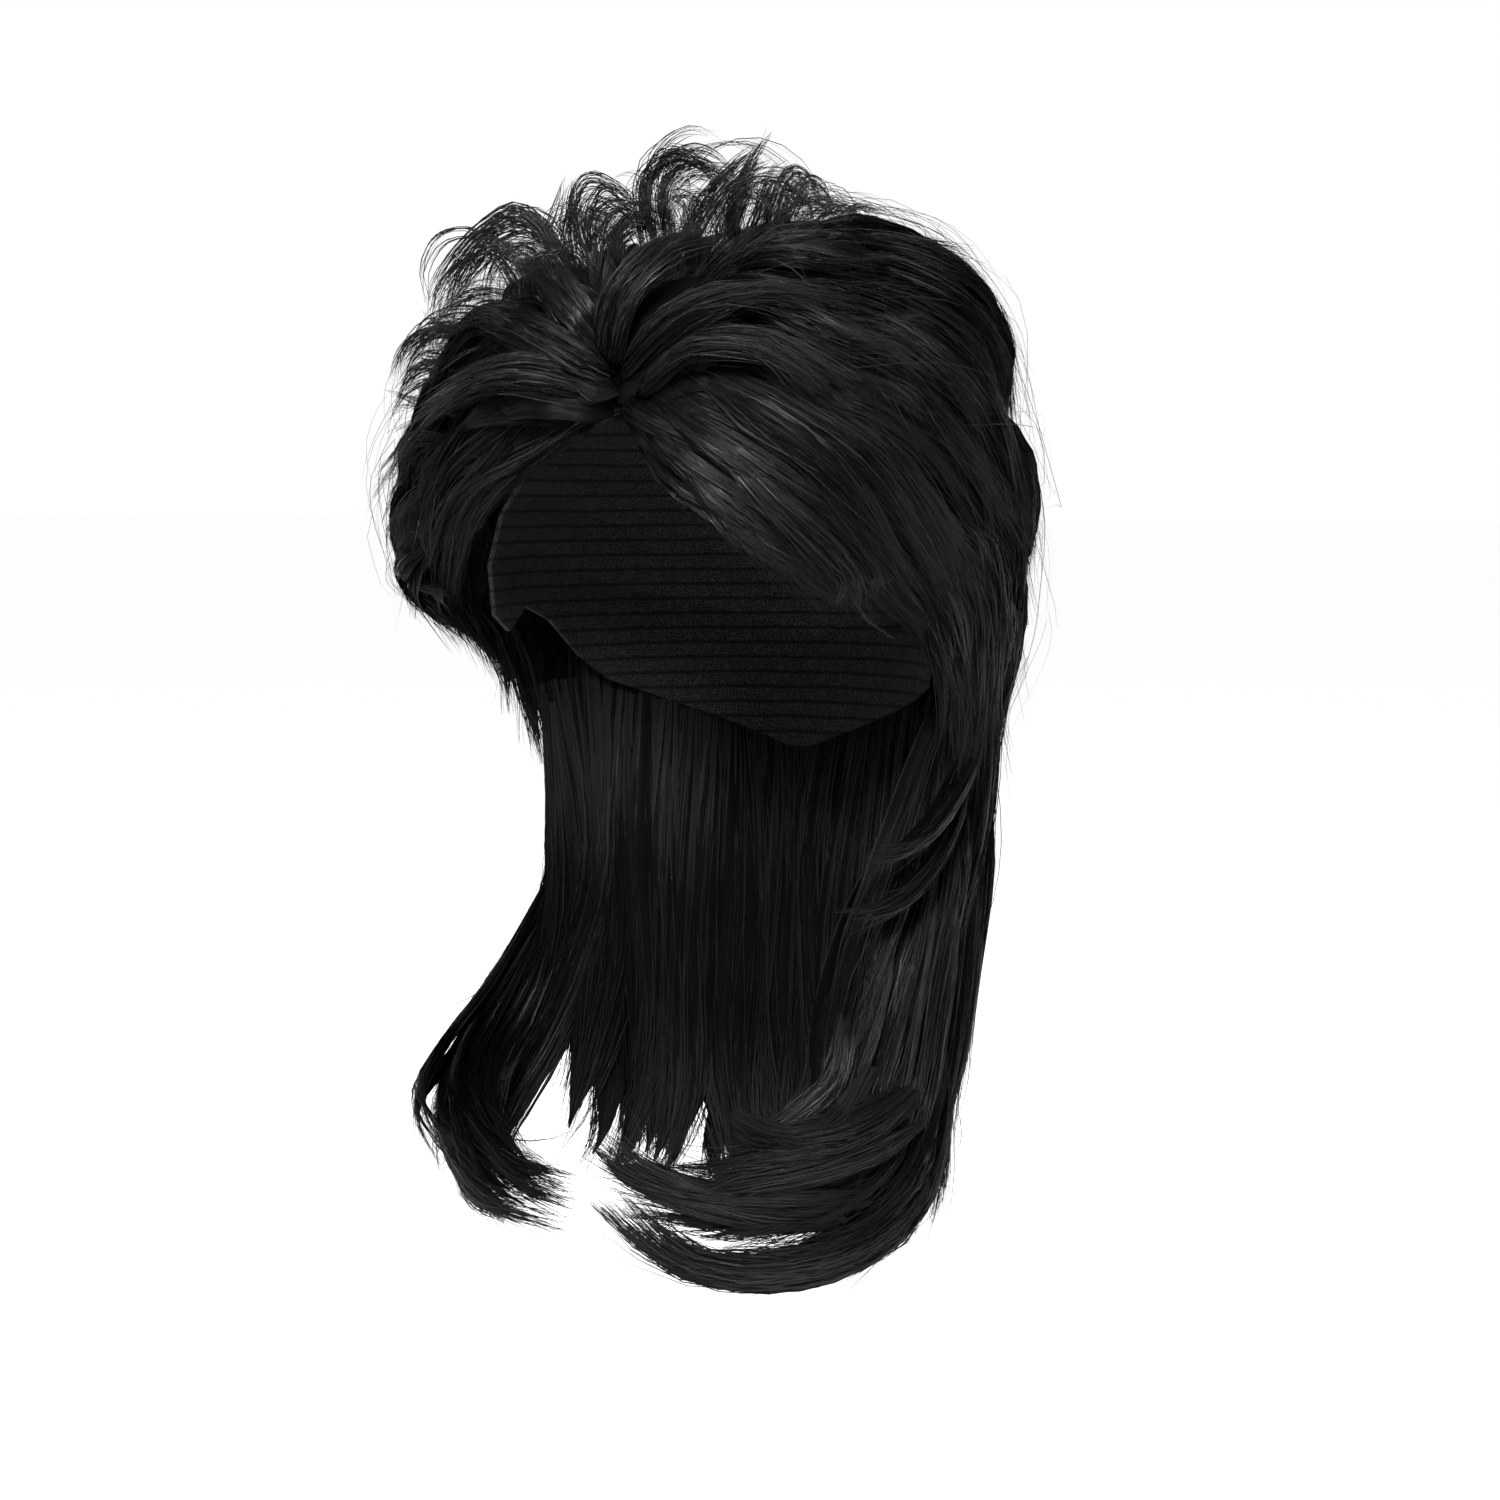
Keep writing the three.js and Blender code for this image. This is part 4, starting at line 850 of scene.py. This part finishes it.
# Loops of loose hair over the crown: those of the solid, and thinner ones between
CURL_ROOT = 0.12       # how far under its start a curl is rooted, as a share of the loft
CURL_HAIRS = 60
THIN_CURLS = 34
LOOP_HALF_WIDTH = 0.155
crown_curls = Surface("crown_curls", "crown_hair", "fibre")
loose_hair = Surface("loose_hair", "crown_hair", "fibre")
curls = [
    (curl["azimuth"], curl["drop"], curl["start"] - CURL_ROOT, curl["lean"], 1.15 * curl["size"],
     curl["turn"], CURL_HAIRS)
    for curl in CURLS
]
for _ in range(THIN_CURLS):
    azimuth = rng.uniform(-125, 125)
    drop = rng.uniform(0.04, 0.16 + 0.30 * np.clip((-azimuth - 35) / 40, 0, 1))
    size = rng.uniform(0.6, 1.35)
    lean = azimuth * rng.uniform(0.4, 1.3) + rng.normal(0, 60)
    start = np.interp(drop, [0, 0.3, 0.5], [0.86, 0.84, 0.66]) - CURL_ROOT * size
    curls.append((azimuth, drop, start, lean, size, rng.uniform(140, 290), rng.integers(4, 22)))
for count, spread, width, fine, path in LOOPS:
    for _ in range(2 * count):
        shift = rng.normal(0, 1.5 * spread, (1, 3))
        bend = rng.normal(0, 0.45 * spread, (len(path), 3)).cumsum(0)
        points = picture_points(path) + shift + bend
        lock = free_lock(points, picture_ways[2] + rng.normal(0, 0.4, 3), 0.72 * width, 2.0)
        add_strands(crown_curls, lock, fine // 2, points=13, half_width=LOOP_HALF_WIDTH, loose=0.5)
for azimuth, drop, start, lean, size, turn, fine in curls:
    add_curl(crown_curls, azimuth, drop, start, lean, size, turn, fine)

# Spiky tips at the wearer's right side
SPIKES = 30
SPIKE_STRANDS = 34
SPIKE_HALF_WIDTH = 0.14
for _ in range(SPIKES):
    azimuth, drop = rng.uniform(-100, -48), rng.uniform(0.34, 0.86)
    turn, fall, stand = rng.normal(-8, 8), rng.uniform(0.06, 0.20), rng.uniform(0.08, 0.28)
    level = np.interp(drop, [0.3, 0.6, 0.9], [0.86, 0.80, 0.70])
    path = [
        form_point(azimuth, drop - fall, (level - 0.12) * HAIR_LOFT),
        form_point(azimuth + 0.3 * turn, drop, level * HAIR_LOFT),
        form_point(azimuth + turn, drop + 0.6 * fall, (level + 0.5 * stand) * HAIR_LOFT),
        form_point(azimuth + 1.4 * turn, drop + fall, (level + stand) * HAIR_LOFT),
    ]
    outward = unit(form_point(azimuth, drop, 1.0) - form_point(azimuth, drop, 0.0))
    lock = free_lock(path, outward, 6.0, 3.0)
    add_strands(loose_hair, lock, SPIKE_STRANDS, half_width=SPIKE_HALF_WIDTH, loose=0.8)

# Single hairs that stand off the surface
SINGLE_HAIRS = [
    # node, count, greatest height in millimetres
    ("crown_hair", 480, 9.0), ("fringe_left", 60, 4.0), ("fringe_right", 60, 5.0),
    ("side_left", 70, 6.0), ("side_right", 90, 7.0), ("back_hair", 110, 7.0),
    ("tail_left", 110, 6.0), ("tail_back", 90, 7.0), ("tail_right", 110, 8.0),
]


def face_rows(grid, across, along):
    """Points of a sheet's face for rows of shares across and along it."""
    return sheet_points(grid, across.ravel(), along.ravel()).reshape(*along.shape, 3)


for node, count, rise in SINGLE_HAIRS:
    x = np.linspace(0, 1, STRAND_POINTS)
    start = rng.uniform(0, 0.75, (count, 1))
    length = rng.uniform(0.15, 0.45, (count, 1))
    along = start + length * x
    # most hairs follow their sheet and some cross it
    astray = np.where(rng.random((count, 1)) < 0.25, 0.22, 0.05)
    across = np.clip(rng.uniform(0, 1, (count, 1)) + rng.normal(0, 1, (count, 1)) * astray * x, 0, 1)
    top, low = (face_rows(grid, across, along) for grid in grids[node])
    out = unit(top - low)
    bowed = rng.random((count, 1)) < 0.6
    shape = np.where(bowed, np.sin(np.pi * x) ** 0.8, x**1.6)
    height = rng.uniform(0.15, 1.0, (count, 1)) ** 1.5 * rise
    middle = top + out * (shape * height)[..., None]
    sway = unit(np.cross(np.gradient(middle, axis=1), out))
    middle = middle + sway * (rng.normal(0, 2.5, (count, 1)) * x**1.5)[..., None]
    roll = rng.uniform(0, np.pi, (count, 1, 1))
    flat = sway * np.cos(roll) + out * np.sin(roll)
    add_ribbons(loose_hair, middle, flat, rng.uniform(0.06, 0.13, (count, 1)))

for node in sheets:
    locks[node].build(blade_fibre)
for node in sheets:
    for surface in strands[node]:
        surface.build(strand_fibre)
crown_curls.build(strand_fibre)
loose_hair.build(strand_fibre)

# The cap: its solid from the CAD, in the look of the net
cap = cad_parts["cap"]
cap.data.materials.clear()
cap.data.materials.append(net_material())

# Studio: a pale floor well under the hair, soft light from the front, sides and back
FLOOR_HEIGHT = -0.42
FLOOR_SIZE = 80
LIGHTS_TARGET = (0.0, 0.0, -0.12)
LIGHTS = [
    # name, place and size in metres, power in watts
    ("key", (0.50, -1.42, 0.95), (0.5, 0.5), 62),
    ("fill", (-1.3, -1.1, 0.5), (0.5, 0.9), 8),
    ("top", (0.2, 0.1, 1.3), (0.8, 0.8), 12),
    ("back", (-0.9, 1.4, 0.7), (0.7, 0.7), 18),
]

pale, _, shader = new_material("floor_pale")
shader.inputs["Base Color"].default_value = (0.5, 0.5, 0.5, 1)
shader.inputs["Roughness"].default_value = 0.9
shader.inputs["Emission Color"].default_value = (1, 1, 1, 1)
shader.inputs["Emission Strength"].default_value = 0.92
bpy.ops.mesh.primitive_plane_add(size=FLOOR_SIZE, location=(0, 0, FLOOR_HEIGHT))
floor = bpy.context.object
floor.name = "floor"
floor.data.materials.append(pale)


def build_world():
    """White light from the ground and the horizon, little from above and from the front."""
    world = bpy.data.worlds.new("studio")
    bpy.context.scene.world = world
    world.use_nodes = True
    tree = world.node_tree
    sky = add_node(tree, "ShaderNodeTexCoord").outputs["Generated"]
    way = add_node(tree, "ShaderNodeSeparateXYZ", {0: sky})
    fade = add_ramp(tree, way.outputs["Z"], [(0.19, (1, 1, 1)), (0.28, (0.05, 0.05, 0.05))])
    front = add_range(tree, way.outputs["Y"], -0.75, -0.30, 0.06)
    wall = tree.nodes["Background"]
    wall.inputs["Strength"].default_value = 1.0
    tree.links.new(add_mix(tree, 1.0, fade, front, blend_type="MULTIPLY"), wall.inputs["Color"])


def softbox(name, place, size, watts):
    """A soft light that faces the middle of the wig."""
    light = bpy.data.lights.new(name, "AREA")
    light.shape = "RECTANGLE"
    light.size, light.size_y = size
    light.energy = watts
    lamp = bpy.data.objects.new(name, light)
    bpy.context.scene.collection.objects.link(lamp)
    lamp.location = place
    lamp.rotation_euler = (Vector(LIGHTS_TARGET) - Vector(place)).to_track_quat("-Z", "Y").to_euler()


build_world()
for name, place, size, watts in LIGHTS:
    softbox(name, place, size, watts)

# Camera: as the photo was taken
CAMERA_DISTANCE = 1.2
SENSOR_WIDTH = 36.0
PIXELS_PER_MM, PHOTO_PIXELS = 2.8, 1500
EARS_PIXEL = (705, 709)


def build_camera():
    """The camera, turned so that the ears fall on their pixel of the photo."""
    middle = PHOTO_PIXELS / 2
    off_middle = [(middle - EARS_PIXEL[0]) / PIXELS_PER_MM, (EARS_PIXEL[1] - middle) / PIXELS_PER_MM, 0]
    target = picture_points([off_middle])[0]
    data = bpy.data.cameras.new("camera")
    data.sensor_width = SENSOR_WIDTH
    data.lens = SENSOR_WIDTH * PIXELS_PER_MM * CAMERA_DISTANCE / METRES / PHOTO_PIXELS
    data.dof.use_dof = False
    camera = bpy.data.objects.new("camera", data)
    bpy.context.scene.collection.objects.link(camera)
    camera.location = target * METRES + picture_back * CAMERA_DISTANCE
    camera.rotation_euler = Vector(-picture_back).to_track_quat("-Z", "Y").to_euler()
    bpy.context.scene.camera = camera


build_camera()
bpy.context.scene.view_settings.view_transform = "Standard"
